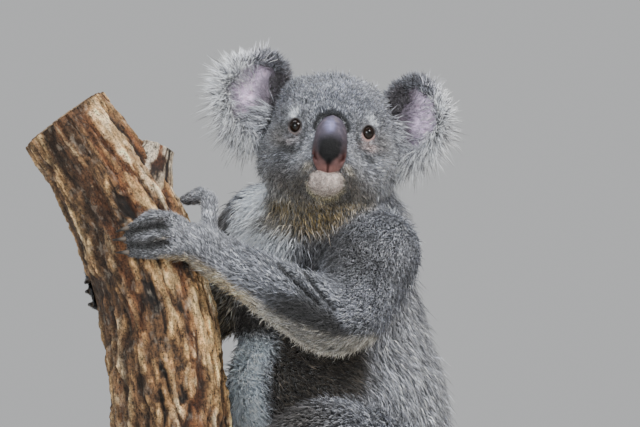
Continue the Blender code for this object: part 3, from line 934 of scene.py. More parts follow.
@dataclass(frozen=True)
class Palette:
    """The coat's colours."""

    grey: Colour = (0.112, 0.119, 0.146)
    pale_grey: Colour = (0.37, 0.38, 0.425)
    dark: Colour = (0.026, 0.025, 0.028)
    brown: Colour = (0.075, 0.058, 0.042)
    tan: Colour = (0.5, 0.37, 0.19)
    cream: Colour = (0.66, 0.6, 0.5)
    white: Colour = (0.86, 0.9, 0.97)
    straw: Colour = (0.155, 0.108, 0.034)
    pink: Colour = (0.5, 0.37, 0.35)
    chin: Colour = (0.6, 0.495, 0.45)


PALETTE = Palette()


FOLD_WIDTH = 0.0034
ELBOW_FOLDS = (  # both ends in the x-z plane, and the depth
    ((0.0225, 0.3345), (0.058, 0.301), 0.008),
    ((0.0455, 0.3285), (0.072, 0.2965), 0.0075),
)


def nose_arc(head: Array) -> Array:
    """The fold over the nose pad: a bell of the distance from an arch round it, in the head's frame."""
    x, y, z = head.T
    gap = np.hypot(x + 0.0003, z * 1.02) - 0.0146
    return bump(gap, 0.0019) * ease(z, -0.005, 0.002) * ease(-y, 0.035, 0.045)


CHIN, CHIN_SIZES = (-0.0006, -0.0484), (0.0164, 0.01)
MOUTH_HEIGHT = -0.0408


def chin_patch(head: Array) -> Array:
    """1 on the bare-looking pale chin and 0 off it, in the head's frame."""
    return oval(head[:, 0], head[:, 2], CHIN, CHIN_SIZES, 0.12) * ease(-head[:, 1], 0.0, 0.03)


def mouth_gap(head: Array) -> Array:
    """The height above the mouth's line, a parabola that rises to the cheeks, in the head's frame."""
    return head[:, 2] - (MOUTH_HEIGHT + 0.003 * (head[:, 0] / 0.018) ** 2)


def fold_gap(x: Array, z: Array, start: Pair, end: Pair) -> Array:
    """The distance in the x-z plane from the straight stretch between two points."""
    dx, dz = end[0] - start[0], end[1] - start[1]
    t = np.clip(((x - start[0]) * dx + (z - start[1]) * dz) / (dx * dx + dz * dz), 0.0, 1.0)
    return np.hypot(x - start[0] - t * dx, z - start[1] - t * dz)


def torso_markings(lie: Lie, tone: Array, cloud: Array) -> Array:
    """Pale woolly rump and back, dark flanks deepened by painted shade under the arm, white breast, painted
    shade below the breast and in the nook by the trunk, pale belly and straw throat.
    """
    bx, by, bz = lie.body.T
    wx, _, wz = lie.points.T
    front, torso = -lie.body_normals[:, 1], lie.part["torso"]
    woolly = torso * ease(by, -0.055, 0.015) * (0.72 + 0.28 * fade(bz, 0.22, 0.34))
    tone = mix(tone, PALETTE.pale_grey, woolly)
    # Dark brown flank: partly the coat's darker fur, partly painted shade under the arm.
    flank_dark_and_shade = torso * ease(bx, 0.004, 0.026) * fade(bx, 0.078, 0.1) * ease(-by, 0.01, 0.045)
    flank_dark_and_shade *= fade(bz, 0.29, 0.325)
    tone = mix(tone, (0.036, 0.029, 0.022), np.minimum(1.15 * flank_dark_and_shade, 0.98))
    loose = (1.0 - lie.part["head"]) * (1.0 - lie.part["paws"])
    bib = loose * ease(front, -0.05, 0.4) * fade(np.abs(bx + 0.01), 0.036, 0.054) * ease(bz, 0.312, 0.342)
    tone = mix(tone, PALETTE.white, 1.3 * bib)
    # Painted shade: dark brown below the breast and on its side towards the trunk, under the arm.
    underarm_shade = torso * ease(front, -0.4, 0.1) * ease(bz, 0.258, 0.286) * fade(bz, 0.312, 0.34)
    underarm_shade = np.maximum(underarm_shade, torso * ease(front, -0.4, 0.1) * ease(-bx, 0.046, 0.064) * fade(bz, 0.3, 0.34))
    tone = mix(tone, (0.062, 0.052, 0.042), 0.92 * underarm_shade * fade(bx, 0.0, 0.03))
    belly = torso * ease(front, -0.05, 0.35) * fade(np.abs(bx + 0.0225 + 0.005 * cloud), 0.014, 0.042)
    tone = mix(tone, (0.84, 0.92, 1.0), 1.25 * (belly * fade(bz, 0.262, 0.288)))
    # Painted shade in the nook between the trunk and the koala's right shoulder.
    nook_shade = loose * ease(-wx, 0.014, 0.032) * ease(front, -0.3, 0.3) * ease(wz, 0.335, 0.352)
    nook_shade = nook_shade * fade(wz, 0.405, 0.43)
    tone = mix(tone, (0.07, 0.061, 0.048), 0.8 * nook_shade * (1.0 - lie.share["arm_left"]))
    throat = torso * ease(-lie.head[:, 1], -0.045, 0.0) * bump(bz - 0.402, 0.018) * ease(front, -0.4, 0.3)
    return mix(tone, PALETTE.straw, 1.1 * throat)


def limb_markings(lie: Lie, tone: Array, cloud: Array) -> Array:
    """A dark inner left elbow, partly painted shade, painted shade along its folds, a painted shadow over the
    shoulder, a pale to tan fringe below, and the legs and paws.
    """
    wx, _, wz = lie.points.T
    arm, run, paws = lie.share["arm_left"], lie.along["arm_left"], lie.part["paws"]
    ahead, under = -lie.normals[:, 1], -lie.normals[:, 2]
    # Dark fur and painted shade inside the left elbow, under the forearm.
    elbow_dark_and_shade = arm * ease(ahead, -0.1, 0.4) * blot(wx, wz, (0.048, 0.285), (0.058, 0.0215), -24)
    elbow_dark_and_shade *= 0.45 + 0.55 * ease(wx, -0.015, 0.045)
    tone = mix(tone, (0.017, 0.016, 0.017), np.minimum(1.25 * elbow_dark_and_shade, 0.98))
    shadow = (arm + lie.part["torso"]) * ease(ahead, -0.3, 0.3)
    shadow *= blot(wx, wz, (0.077, 0.352), (0.056, 0.032), -16)
    tone = mix(tone, (0.031, 0.027, 0.024), 0.76 * shadow)
    # Painted shade along the two folds carved inside the elbow.
    for start, end, _ in ELBOW_FOLDS:
        crease_shade = bump(fold_gap(wx, wz, start, end) + 0.0006 * cloud, FOLD_WIDTH) * (ahead > -0.2)
        tone = mix(tone, (0.012, 0.011, 0.012), 0.98 * arm * crease_shade)
    fringe = arm * ease(under, 0.46, 0.8) * ease(run, 0.3, 0.45) * (1.0 - 0.7 * elbow_dark_and_shade)
    inner = (lie.share["leg_left"] + lie.share["leg_right"]) * ease(under, 0.2, 0.8)
    front, high = ease(-lie.body_normals[:, 1], -0.3, 0.4), ease(lie.body[:, 2], 0.13, 0.17)
    palm, wrist = ease(under, 0.35, 0.8), fade(lie.reach, 0.55, 0.75)
    for colour, share in (
        (PALETTE.cream, 0.88 * fringe),
        (PALETTE.tan, 0.9 * fringe * ease(run, 0.66, 0.85)),
        (PALETTE.cream, 0.35 * inner),
        ((0.255, 0.215, 0.145), 0.9 * lie.share["arm_right"] * ease(under, -0.35, 0.35)),
        # Painted shade on the top of the left knee.
        ((0.05, 0.042, 0.036), 0.9 * lie.share["leg_left"] * front * high),
        (PALETTE.brown, 0.3 * paws),
        # Painted highlight on the upper sides of the paws and digits, short of their tips.
        (PALETTE.pale_grey, 0.5 * paws * fade(lie.reach, 0.8, 0.97) * fade(under, 0.0, 0.5)),
        (PALETTE.tan, 0.75 * lie.near_left_hand * palm * wrist),
        # Painted shade in the clefts between the digits.
        ((0.013, 0.012, 0.012), np.minimum(1.8 * lie.cleft, 0.98)),
        (PALETTE.dark, 0.5 * paws * ease(lie.reach, 0.82, 1.0)),
    ):
        tone = mix(tone, colour, share)
    return tone


def head_markings(lie: Lie, tone: Array) -> Array:
    """White above the eyes, dark below them, pale beside the nose, a dark arc of fur and painted shade in the
    fold over it, straw and chin, with painted light on the koala's left side and painted shade on its right.
    """
    x, y, z = lie.head.T
    head = lie.part["head"]
    face = head * ease(-y, 0.0, 0.03)
    off_chin = ease(np.hypot(np.abs(x) / 1.4, z + 0.049), 0.012, 0.022)
    # Painted light: the koala's left cheek and jaw, turned to the key light, are paler.
    tone = mix(tone, PALETTE.pale_grey, 0.45 * head * ease(x, 0.012, 0.05) * ease(-z, -0.03, 0.01))
    tone = mix(tone, (0.088, 0.097, 0.135), 0.5 * face * ease(z, 0.004, 0.028))
    # Painted shade: the koala's right cheek, jaw and forehead are darker.
    tone = mix(tone, PALETTE.dark, 0.5 * head * ease(-x, 0.004, 0.046) * ease(-z, -0.062, 0.012))
    tone = mix(tone, PALETTE.dark, 0.3 * face * ease(-x, 0.004, 0.032) * ease(z, -0.005, 0.022))
    # The dark patch below each eye is the coat's marking, made stronger on the koala's right as painted
    # shade.
    for turned, shade, blush in ((-1.0, 0.95, 0.15), (1.0, 0.45, 0.8)):
        for colour, share, at, sizes, turn in (
            (PALETTE.white, 0.8, (0.0352, 0.0132), (0.0056, 0.0034), -35),
            (PALETTE.dark, shade, (0.0368, -0.0172), (0.0098, 0.0056), 35),
            (PALETTE.brown, 0.6, (0.0465, -0.0055), (0.007, 0.011), 0),
            (PALETTE.dark, 0.6, (0.0222, -0.002), (0.0036, 0.0125), 10),
            (PALETTE.pale_grey, 0.85, (0.025, -0.025), (0.014, 0.005), -55),
            (PALETTE.pink, blush, (0.0334, -0.0102), (0.0078, 0.004), 0),
            (PALETTE.cream, 0.95, (0.0176, -0.0366), (0.0046, 0.0036), -35),
            (PALETTE.dark, 0.97, (0.0218, -0.0445), (0.0046, 0.0082), 12),
        ):
            tone = mix(tone, colour, share * face * blot(x * turned, z, at, sizes, turn))
    tone = mix(tone, PALETTE.straw, 0.92 * head * ease(-z, 0.04, 0.058) * off_chin)
    tone = mix(tone, PALETTE.brown, 0.74 * head * ease(-z, 0.026, 0.046) * fade(x, 0.03, 0.055))
    # Dark fur with painted shade in the fold over the nose pad.
    tone = mix(tone, (0.007, 0.007, 0.008), 2.6 * head * nose_arc(lie.head))
    tone = mix(tone, (0.56, 0.48, 0.27), 0.85 * face * oval(x, z, (-0.0004, -0.0497), (0.0168, 0.011), 0.14))
    tone = mix(tone, PALETTE.chin, face * oval(x, z, CHIN, CHIN_SIZES, 0.1))
    gold = (1.0 - lie.share["arm_left"]) * ease(-lie.normals[:, 1], -0.3, 0.3)
    spot = blot(lie.points[:, 0], lie.points[:, 2], (0.046, 0.3855), (0.046, 0.015))
    gold *= spot * (1.0 - face * ease(-y, 0.03, 0.05))
    return mix(tone, (0.15, 0.1, 0.03), 0.86 * gold)


def markings(lie: Lie) -> Array:
    """The coat's colour at each point, from soft spots and bands set out in the head's and body's frames."""
    cloud = lattice_noise(lie.points, 0.022, 3)
    tone = mix(np.tile(PALETTE.grey, (len(cloud), 1)), PALETTE.pale_grey, 0.25 + 0.25 * cloud)
    tone = limb_markings(lie, torso_markings(lie, tone, cloud), cloud)
    return np.clip(head_markings(lie, tone), 0.0, 1.0)


# ----
# Skin


@dataclass
class Skin:
    """The one skin of head, body and limbs, under the coat."""

    grid: float = 0.0027  # the remeshing grid
    grow: float = 0.0007  # closes the cuts between the solids
    soften_body: int = 18
    soften_paws: int = 2
    points: Array = field(default_factory=lambda: np.zeros((0, 3)))
    normals: Array = field(default_factory=lambda: np.zeros((0, 3)))
    triangles: Array = field(default_factory=lambda: np.zeros((0, 3), int))
    edges: Array = field(default_factory=lambda: np.zeros((0, 2), int))
    lie: Optional[Lie] = None
    mesh: Optional[bpy.types.Mesh] = None

    def build(self) -> None:
        """Fuses the flesh, smooths away its facets, sinks it by the coat's depth and carves the face."""
        self.mesh = self.fused()
        self.read()
        self.smooth()
        self.lie = Lie(self.points, self.normals)
        self.sink()
        self.carve()
        self.lie = Lie(self.points, self.normals)
        self.comb()

    def fused(self) -> bpy.types.Mesh:
        """One closed mesh round all the flesh solids, each grown by a hair so that they meet."""
        blocks, faces, count = [], [], 0
        growths = dict.fromkeys(FLESH, self.grow)
        growths.update(nose=-0.0012, eye_left=-0.001, eye_right=-0.001)
        for name, growth in growths.items():
            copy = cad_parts[name].data.copy()
            points, triangles = read_mesh(copy)
            bpy.data.meshes.remove(copy)
            keys, back = np.unique(np.round(points * 1e5).astype(np.int64), axis=0, return_inverse=True)
            back = back.reshape(-1)
            merged = keys / 1e5
            tri = back[triangles]
            a, b, c = merged[tri[:, 0]], merged[tri[:, 1]], merged[tri[:, 2]]
            across = np.cross(b - a, c - a)
            normals = np.zeros_like(merged)
            for k in range(3):
                np.add.at(normals, tri[:, k], across)
            blocks.append(merged + unit(normals) * growth)
            faces.append(tri + count)
            count += len(merged)
        joined = make_mesh("skin_blank", np.concatenate(blocks), np.concatenate(faces), 3)
        blank = bpy.data.objects.new("skin_blank", joined)
        bpy.context.scene.collection.objects.link(blank)
        remesh = blank.modifiers.new("one_skin", "REMESH")
        remesh.mode = "VOXEL"
        remesh.voxel_size = self.grid
        bpy.context.view_layer.update()
        made = bpy.data.meshes.new_from_object(blank.evaluated_get(bpy.context.evaluated_depsgraph_get()))
        bpy.data.objects.remove(blank)
        made.shade_smooth()
        return made

    def read(self) -> None:
        """Takes the mesh's arrays."""
        self.points, self.triangles = read_mesh(self.mesh)
        edges = np.zeros(len(self.mesh.edges) * 2, np.int32)
        self.mesh.edges.foreach_get("vertices", edges)
        self.edges = edges.reshape(-1, 2)
        self.update()

    def update(self) -> None:
        """Writes the points to the mesh and reads its normals."""
        self.mesh.vertices.foreach_set("co", self.points.astype(np.float32).ravel())
        self.mesh.update()
        self.normals = mesh_normals(self.mesh)

    def spread(self, values: Array, rounds: int, share: Array) -> Array:
        """Moves each row towards the mean of its neighbours' rows.

        Args:
            values: One row a vertex.
            rounds: How many times.
            share: How far each vertex moves each time, from 0 to 1.

        Returns:
            The smoothed rows.
        """
        ends, others = self.edges.T
        count = len(self.points)
        degree = np.maximum(np.bincount(ends, minlength=count) + np.bincount(others, minlength=count), 1)
        values = values.copy()
        for _ in range(rounds):
            for column in values.T:
                total = np.bincount(ends, column[others], count) + np.bincount(others, column[ends], count)
                column += share * (total / degree - column)
        return values

    def smooth(self) -> None:
        """Rounds off the facets, strongly on the body and lightly on the paws."""
        paws = np.zeros(len(self.points))
        for name in ("hand_left", "hand_right", "foot_left", "foot_right"):
            low, high = (np.array(corner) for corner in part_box(name))
            outside = np.maximum(np.maximum(low - self.points, self.points - high), 0.0)
            paws = np.maximum(paws, fade(np.linalg.norm(outside, axis=1), 0.0, 0.01))
        local = to_local(self.points, HEAD)
        face = ease(-local[:, 1], 0.02, 0.05) * ease(local[:, 2], -0.08, -0.05)
        firm = np.maximum(paws, 0.55 * face)
        rough = Lie(self.points, self.normals)
        back = rough.part["torso"] * ease(rough.body[:, 1], -0.06, 0.0) * fade(local[:, 2], -0.075, -0.05)
        back *= ease(self.points[:, 2], 0.11, 0.14)
        self.points = self.spread(self.points, 170, 0.75 * ease(back, 0.3, 0.8))
        self.points = self.spread(self.points, self.soften_body, 0.6 * (1.0 - firm))
        self.points = self.spread(self.points, self.soften_paws, np.full(len(self.points), 0.5))
        self.update()

    def sink(self) -> None:
        """Moves the skin inwards by the coat's depth and evens it out."""
        depth = self.spread(self.lie.hair[:, :1], 6, np.full(len(self.points), 0.5))[:, 0]
        under = ease(-self.normals[:, 2], 0.35, 0.85) * ease(self.lie.along["arm_left"], 0.3, 0.5)
        depth += 0.006 * self.lie.share["arm_left"] * under
        self.points = self.points - self.normals * depth[:, None]
        self.points = self.spread(self.points, 2, np.full(len(self.points), 0.4))
        self.update()

    def carve(self) -> None:
        """Gives the face its brows, eye hollows, pouches, lips and mouth, and the arm its folds.

        Each feature moves points along the normal by a height times a soft spot or a bell of the
        distance from a curve, in the head's frame.
        """
        head = to_local(self.points, HEAD)
        x, y, z = head.T
        face = ease(-y, 0.01, 0.03)
        side = np.abs(x)
        rise = np.zeros(len(x))
        for height, at, sizes, turn in (
            (0.0022, (0.034, 0.0165), (0.013, 0.006), 8),  # brow
            (0.002, (0.035, -0.0122), (0.0095, 0.004), 12),  # pouch below the eye
            (-0.0018, (0.0365, -0.0195), (0.011, 0.0042), 28),  # hollow below the pouch
            (0.002, (0.0225, -0.033), (0.01, 0.01), 0),  # side of the lip
        ):
            rise += height * blot(side, z, at, sizes, turn)
        rise -= 0.002 * nose_arc(head)
        ridge = 0.0015 * bump(np.hypot(x, z) - 0.0215, 0.0034)
        rise += ridge * ease(z, -0.004, 0.006) * ease(-y, 0.03, 0.042)
        rise -= 0.003 * bump(mouth_gap(head), 0.0022) * fade(side, 0.016, 0.026) * ease(-y, 0.03, 0.05)
        rise += 0.0026 * blot(x, z, CHIN, (0.0145, 0.008), 0)
        crown = 0.0056 * blot(x, z, (-0.04, 0.047), (0.019, 0.013), -40)
        crown += 0.0026 * blot(x, z, (0.04, 0.045), (0.016, 0.012), 40)
        self.points += self.normals * (rise * face + crown * self.lie.part["head"])[:, None]
        head = to_local(self.points, HEAD)
        for turned in SIDES:
            forward, off_axis = from_eye(head, turned)
            ball = ball_height(off_axis) - 0.0012
            inside = (forward > -0.004) & (off_axis < 0.0085)
            floor = np.where(off_axis < EYE_RADIUS, ball, 0.0)
            want = floor + (forward - floor) * ease(off_axis, 0.0062, 0.0085)
            head += np.where(inside, want - forward, 0.0)[:, None] * eye_axis(turned)
        self.points = to_world(Nose.hold_back(head), HEAD)
        self.points += self.normals * (self.arm_folds() - 0.004 * self.lie.cleft)[:, None]
        self.update()

    def arm_folds(self) -> Array:
        """Two creases across the inside of the left elbow: bells of the distance from slanted bands."""
        share = self.lie.share["arm_left"]
        x, z = self.points[:, 0], self.points[:, 2]
        facing = ease(-self.normals[:, 1], 0.1, 0.6)
        total = np.zeros(len(x))
        for start, end, deep in ELBOW_FOLDS:
            total -= deep * bump(fold_gap(x, z, start, end), FOLD_WIDTH)
        return total * share * facing

    def comb(self) -> None:
        """Lays the coat's direction along the skin and lets neighbours agree."""
        flow = self.lie.flow
        for _ in range(3):
            flow = self.spread(flow, 8, np.full(len(self.points), 0.6))
            flow = flatten(flow, self.normals)
        self.lie.flow = flow

    def dress(self) -> None:
        """Colours the skin with the coat's markings, darkened as painted shade under the coat, and puts it in
        place of the flesh.
        """
        tone = markings(self.lie)
        # Painted shade: the skin is darker so that the gaps between tufts look deep, less so under white fur.
        tone *= (0.42 + 0.4 * ease(tone.mean(1), 0.35, 0.75))[:, None]
        head = self.lie.head
        tone = mix(tone, PALETTE.chin, chin_patch(head))
        mouth = bump(mouth_gap(head), 0.0013) * fade(np.abs(head[:, 0]), 0.016, 0.024)
        tone = mix(tone, (0.16, 0.06, 0.055), mouth * ease(-head[:, 1], 0.03, 0.05))
        tone_mesh(self.mesh, tone)
        put("skin", self.mesh, SkinFinish("koala_skin"), "fur_grey", *FLESH)


# ----
# Coat


@dataclass
class Coat:
    """Solid tufts over the skin, region by region."""

    skin: Skin
    most: int = 32500  # tufts in one piece
    clump: float = 0.0065
    gather: float = 0.4
    seed: int = 11

    def build(self) -> None:
        """Grows every region's coat."""
        rng = np.random.default_rng(self.seed)
        groups = self.regions()
        for region in Region:
            self.grow(region, groups == list(Region).index(region), rng)

    def regions(self) -> Array:
        """The region's number of each triangle of the skin."""
        lie, triangles = self.skin.lie, self.skin.triangles
        names = list(Region)
        share = {
            Region.ARM_LEFT: lie.share["arm_left"], Region.ARM_RIGHT: lie.share["arm_right"],
            Region.LEG_LEFT: lie.share["leg_left"], Region.LEG_RIGHT: lie.share["leg_right"],
            Region.PAWS: lie.part["paws"],
        }
        front = ease(-lie.head[:, 1], 0.012, 0.016)
        share[Region.FACE] = lie.part["head"] * front
        share[Region.CROWN] = lie.part["head"] * (1.0 - front)
        ahead, high = ease(-lie.body[:, 1], -0.001, 0.001), ease(lie.points[:, 2], 0.299, 0.301)
        low = fade(lie.points[:, 2], 0.229, 0.231)
        share[Region.BREAST] = lie.part["torso"] * ahead * high
        share[Region.BELLY] = lie.part["torso"] * ahead * (1.0 - high)
        share[Region.BACK] = lie.part["torso"] * (1.0 - ahead) * (1.0 - low)
        share[Region.RUMP] = lie.part["torso"] * (1.0 - ahead) * low
        table = np.stack([share[region][triangles].mean(1) for region in names])
        return table.argmax(0)

    def scatter(self, chosen: Array, rng: Rng) -> Tuple[Array, Array]:
        """Roots spread over the chosen triangles by area over spacing squared.

        Args:
            chosen: True for each triangle used.
            rng: Random numbers.

        Returns:
            The triangle of each root and its three corner weights.
        """
        points, triangles = self.skin.points, self.skin.triangles
        number = np.flatnonzero(chosen)
        a, b, c = (points[triangles[number, k]] for k in range(3))
        area = 0.5 * np.linalg.norm(np.cross(b - a, c - a), axis=1)
        spacing = self.skin.lie.hair[:, 4][triangles[number]].mean(1)
        run = np.cumsum(area / spacing**2)
        count = int(run[-1])
        want = (np.arange(count) + rng.random(count)) / count * run[-1]
        picked = number[np.minimum(np.searchsorted(run, want), len(number) - 1)]
        first, second = np.sqrt(rng.random(count)), rng.random(count)
        return picked, np.stack([1.0 - first, first * (1.0 - second), first * second], -1)

    def grow(self, region: Region, chosen: Array, rng: Rng) -> None:
        """Grows one region's tufts in pieces small enough to keep."""
        skin = self.skin
        picked, weights = self.scatter(chosen, rng)
        corners = skin.triangles[picked]

        def at(values: Array) -> Array:
            """A vertex value at the roots."""
            return np.einsum("nk,nk...->n...", weights, values[corners])

        roots = at(skin.points)
        normals, flow, hair = unit(at(skin.normals)), unit(at(skin.lie.flow)), at(skin.lie.hair)
        keep = self.allowed(roots, normals)
        roots, normals, flow, hair = roots[keep], normals[keep], flow[keep], hair[keep]
        lie = Lie(roots, normals)
        tufts = Tufts.styled(lie, flow, hair, rng, self.clump, self.gather)
        pieces = -(-len(roots) // self.most)
        for part in range(pieces):
            name = f"coat_{region.value}" + (f"_{'abcdefgh'[part]}" if pieces > 1 else "")
            tufts.take(np.arange(part, len(roots), pieces)).put(name)

    def allowed(self, roots: Array, normals: Array) -> Array:
        """True where a tuft may grow: not on the eyes or under the nose, nor pressed against the bark."""
        head = to_local(roots, HEAD)
        keep = np.ones(len(roots), bool)
        for turned in SIDES:
            forward, off_axis = from_eye(head, turned)
            keep &= ~((off_axis < EYE_RADIUS) & (forward > -0.004))
        keep &= ~(Nose.covers(head) & (head[:, 1] < -0.045))
        centre = trunk_at(roots[:, 2])
        out = roots[:, :2] - centre[:, :2]
        distance = np.linalg.norm(out, axis=1)
        towards = -np.sum(unit(out) * normals[:, :2], axis=1)
        return keep & ~((distance < centre[:, 3] + 0.006) & (towards > 0.25))


ROOT_SINK = 0.0006  # how far the tufts' roots stand inside the skin
PATCH = 0.003  # a tuft's side on the bake map


@dataclass
class Tufts:
    """Spindles: a root, a ring of three and a tip, each with its colour and bake patch."""

    roots: Array
    middles: Array
    tips: Array
    side: Array
    lift: Array
    width: Array
    tone: Array  # colour at root, middle and tip, one block each
    patch: Array  # place on the unwrap of the skin

    @staticmethod
    def styled(lie: Lie, flow: Array, hair: Array, rng: Rng, clump: float, gather: float) -> "Tufts":
        """Shapes and colours tufts from the lie of the coat.

        A tuft leaves the skin at its lift, bends back along the flow, and its tip is drawn towards
        the mean tip of its clump, the clumps being the cells of a lattice bent by noise.

        Args:
            lie: Where the roots are.
            flow: The coat's direction at each.
            hair: Depth, length, width, lift and spacing at each.
            rng: Random numbers.
            clump: The clumps' pitch.
            gather: How far tips are drawn together.

        Returns:
            The tufts.
        """
        count = len(flow)
        normals, roots = lie.normals, lie.points
        length, width, lift = Tufts.dressed(lie, *hair.T[1:4])
        side = unit(np.cross(normals, flow))
        loose = 0.24 + 0.14 * (lie.share["arm_left"] + lie.part["paws"])
        swirl = 0.32 * lattice_noise(roots, 0.016, 5) + loose * rng.standard_normal(count)
        flow = unit(flow + side * swirl[:, None])
        side = unit(np.cross(normals, flow))
        guard = rng.random(count) < 0.07
        length = length * (rng.uniform(0.72, 1.18, count) * np.where(guard, 1.4, 1.0))
        angle = np.radians(lift * rng.uniform(0.45, 1.45, count) * np.where(guard, 1.25, 1.0))

        def reached(angle: Array, share: float) -> Array:
            """The points a share of the length out from the roots, at an angle off the skin."""
            way = np.cos(angle)[:, None] * flow + np.sin(angle)[:, None] * normals
            return roots + length[:, None] * share * way

        middles, tips = reached(angle * 1.25, 0.5), reached(angle * 0.85, 1.0)
        bend = noise_rows(roots, 0.012, 21) * clump * 0.6
        pull, member, size = gathered(tips, np.floor((tips + bend) / clump).astype(np.int64) + 4096)
        pull = pull * (gather * (0.35 + 0.65 * lie.part["torso"]))[:, None]
        pull -= np.sum(pull * normals, axis=1, keepdims=True) * normals * 0.5
        tips = tips + pull
        middles = middles + pull * 0.35
        tone = Tufts.toned(lie, rng, member, size, middles, tips)
        upward = unit(np.cross(side, middles - roots))
        return Tufts(roots - normals * ROOT_SINK, middles, tips, side, upward, width, tone, unwrap(lie))

    @staticmethod
    def dressed(lie: Lie, length: Array, width: Array, lift: Array) -> Tuple[Array, Array, Array]:
        """Longer hair on the breast, the forearm's fringe and the cheeks, and shorter round the face.

        Args:
            lie: Where the roots are.
            length: The tufts' lengths.
            width: The tufts' widths.
            lift: The tufts' lifts in degrees.

        Returns:
            The three, changed by where they are.
        """
        side, y, z = np.abs(lie.head[:, 0]), lie.head[:, 1], lie.head[:, 2]
        height, head, arm = lie.points[:, 2], lie.part["head"], lie.share["arm_left"]
        fringe = (arm + lie.share["arm_right"]) * ease(-lie.normals[:, 2], 0.45, 0.85)
        fringe *= ease(lie.along["arm_left"], 0.3, 0.5)
        folds, near_eye = np.zeros(len(length)), np.zeros(len(length))
        for start, end, _ in ELBOW_FOLDS:
            folds = np.maximum(folds, bump(fold_gap(lie.points[:, 0], height, start, end), 0.006))
        for turned in SIDES:
            gap = np.linalg.norm(lie.head - eye_centre(turned), axis=1)
            near_eye = np.maximum(near_eye, bump(np.maximum(gap - 0.008, 0.0), 0.005))
        bib = lie.part["torso"] * ease(-lie.body_normals[:, 1], 0.2, 0.7) * ease(height, 0.3, 0.35)
        throat = ease(-z, 0.044, 0.06) * ease(-lie.normals[:, 1], -0.2, 0.3) * ease(height, 0.375, 0.395)
        cheek = head * ease(side, 0.04, 0.06) * ease(-z, -0.01, 0.03)
        corner = blot(side, z, (0.023, -0.043), (0.007, 0.009)) * ease(-y, 0.0, 0.03)
        muzzle = head * blot(side, z, (0.012, -0.012), (0.018, 0.034))
        for factor in (
            1.0 - 0.66 * folds * arm * (lie.normals[:, 1] < 0.2),
            1.0 - 0.45 * lie.cleft,
            1.0 + 0.35 * fringe + 0.35 * bib,
            1.0 - 0.42 * throat * fade(side, 0.04, 0.06),
            1.0 + 0.5 * cheek,
            1.0 + 0.8 * corner,
            1.0 - 0.62 * chin_patch(lie.head),
            1.0 - 0.42 * muzzle * ease(-y, 0.03, 0.05),
            1.0 - 0.8 * nose_arc(lie.head) * head,
            (1.0 - 0.45 * near_eye) * (1.0 - 0.4 * lie.part["paws"] * ease(lie.reach, 0.75, 0.95)),
        ):
            length = length * factor
        lift = lift + 4.0 * fringe + 6.0 * bib - 8.0 * throat
        width = width * (1.0 - 0.34 * fringe)
        return length, width, lift

    @staticmethod
    def toned(lie: Lie, rng: Rng, member: Array, size: Array, middles: Array, tips: Array) -> Array:
        """The tufts' colours: the markings, lighter or darker from clump to clump and tuft to tuft, and
        darker at the roots as painted shade.

        A mottle, e to the power of two sizes of noise, is read where each colour lies.

        Args:
            lie: Where the roots are.
            rng: Random numbers.
            member: Each tuft's clump.
            size: The clumps' sizes.
            middles: The tufts' middles.
            tips: The tufts' tips.

        Returns:
            The colours at the roots, the middles and the tips, one block each.
        """
        count = len(lie.points)
        base = markings(lie)
        clump = rng.uniform(0.92, 1.08, len(size))[member]
        bright = base.mean(1)
        white = ease(bright, 0.35, 0.75)
        hair = np.exp(rng.normal(-0.07, 0.54, count) * (1.0 - 0.62 * white))
        base = base * (clump * hair)[:, None]
        tip_kind = rng.random(count)
        tip = base * 1.25
        pale = 0.8 * (tip_kind > 0.7) * ease(bright, 0.05, 0.14)
        tip = mix(tip, (0.84, 0.86, 0.92), pale * (1.0 - white))
        tip = mix(tip, (0.022, 0.02, 0.023), 0.84 * (tip_kind < 0.3) * (1.0 - white))
        speck, blob = 1.0 - 0.6 * white, 0.45 * (1.0 - 0.6 * white)

        def mottle(places: Array) -> Array:
            """The change of brightness at places."""
            small, large = lattice_noise(places, 0.0025, 41), lattice_noise(places, 0.0056, 43)
            return np.exp(speck * small + blob * large)[:, None]

        # Painted shade: roots are darker, less so in white fur.
        root = base * (0.42 + 0.38 * white)[:, None]
        return np.stack([root, base * 0.92 * mottle(middles), tip * mottle(tips)])

    def take(self, chosen: Array) -> "Tufts":
        """Only the chosen tufts."""
        rest = (self.roots, self.middles, self.tips, self.side, self.lift, self.width)
        return Tufts(*(values[chosen] for values in rest), self.tone[:, chosen], self.patch[chosen])

    @staticmethod
    def joined(parts: Sequence["Tufts"]) -> "Tufts":
        """Several lots of tufts as one."""
        names = ("roots", "middles", "tips", "side", "lift", "width")
        rest = (np.concatenate([getattr(part, name) for part in parts]) for name in names)
        tone = np.concatenate([part.tone for part in parts], 1)
        return Tufts(*rest, tone, np.concatenate([part.patch for part in parts]))

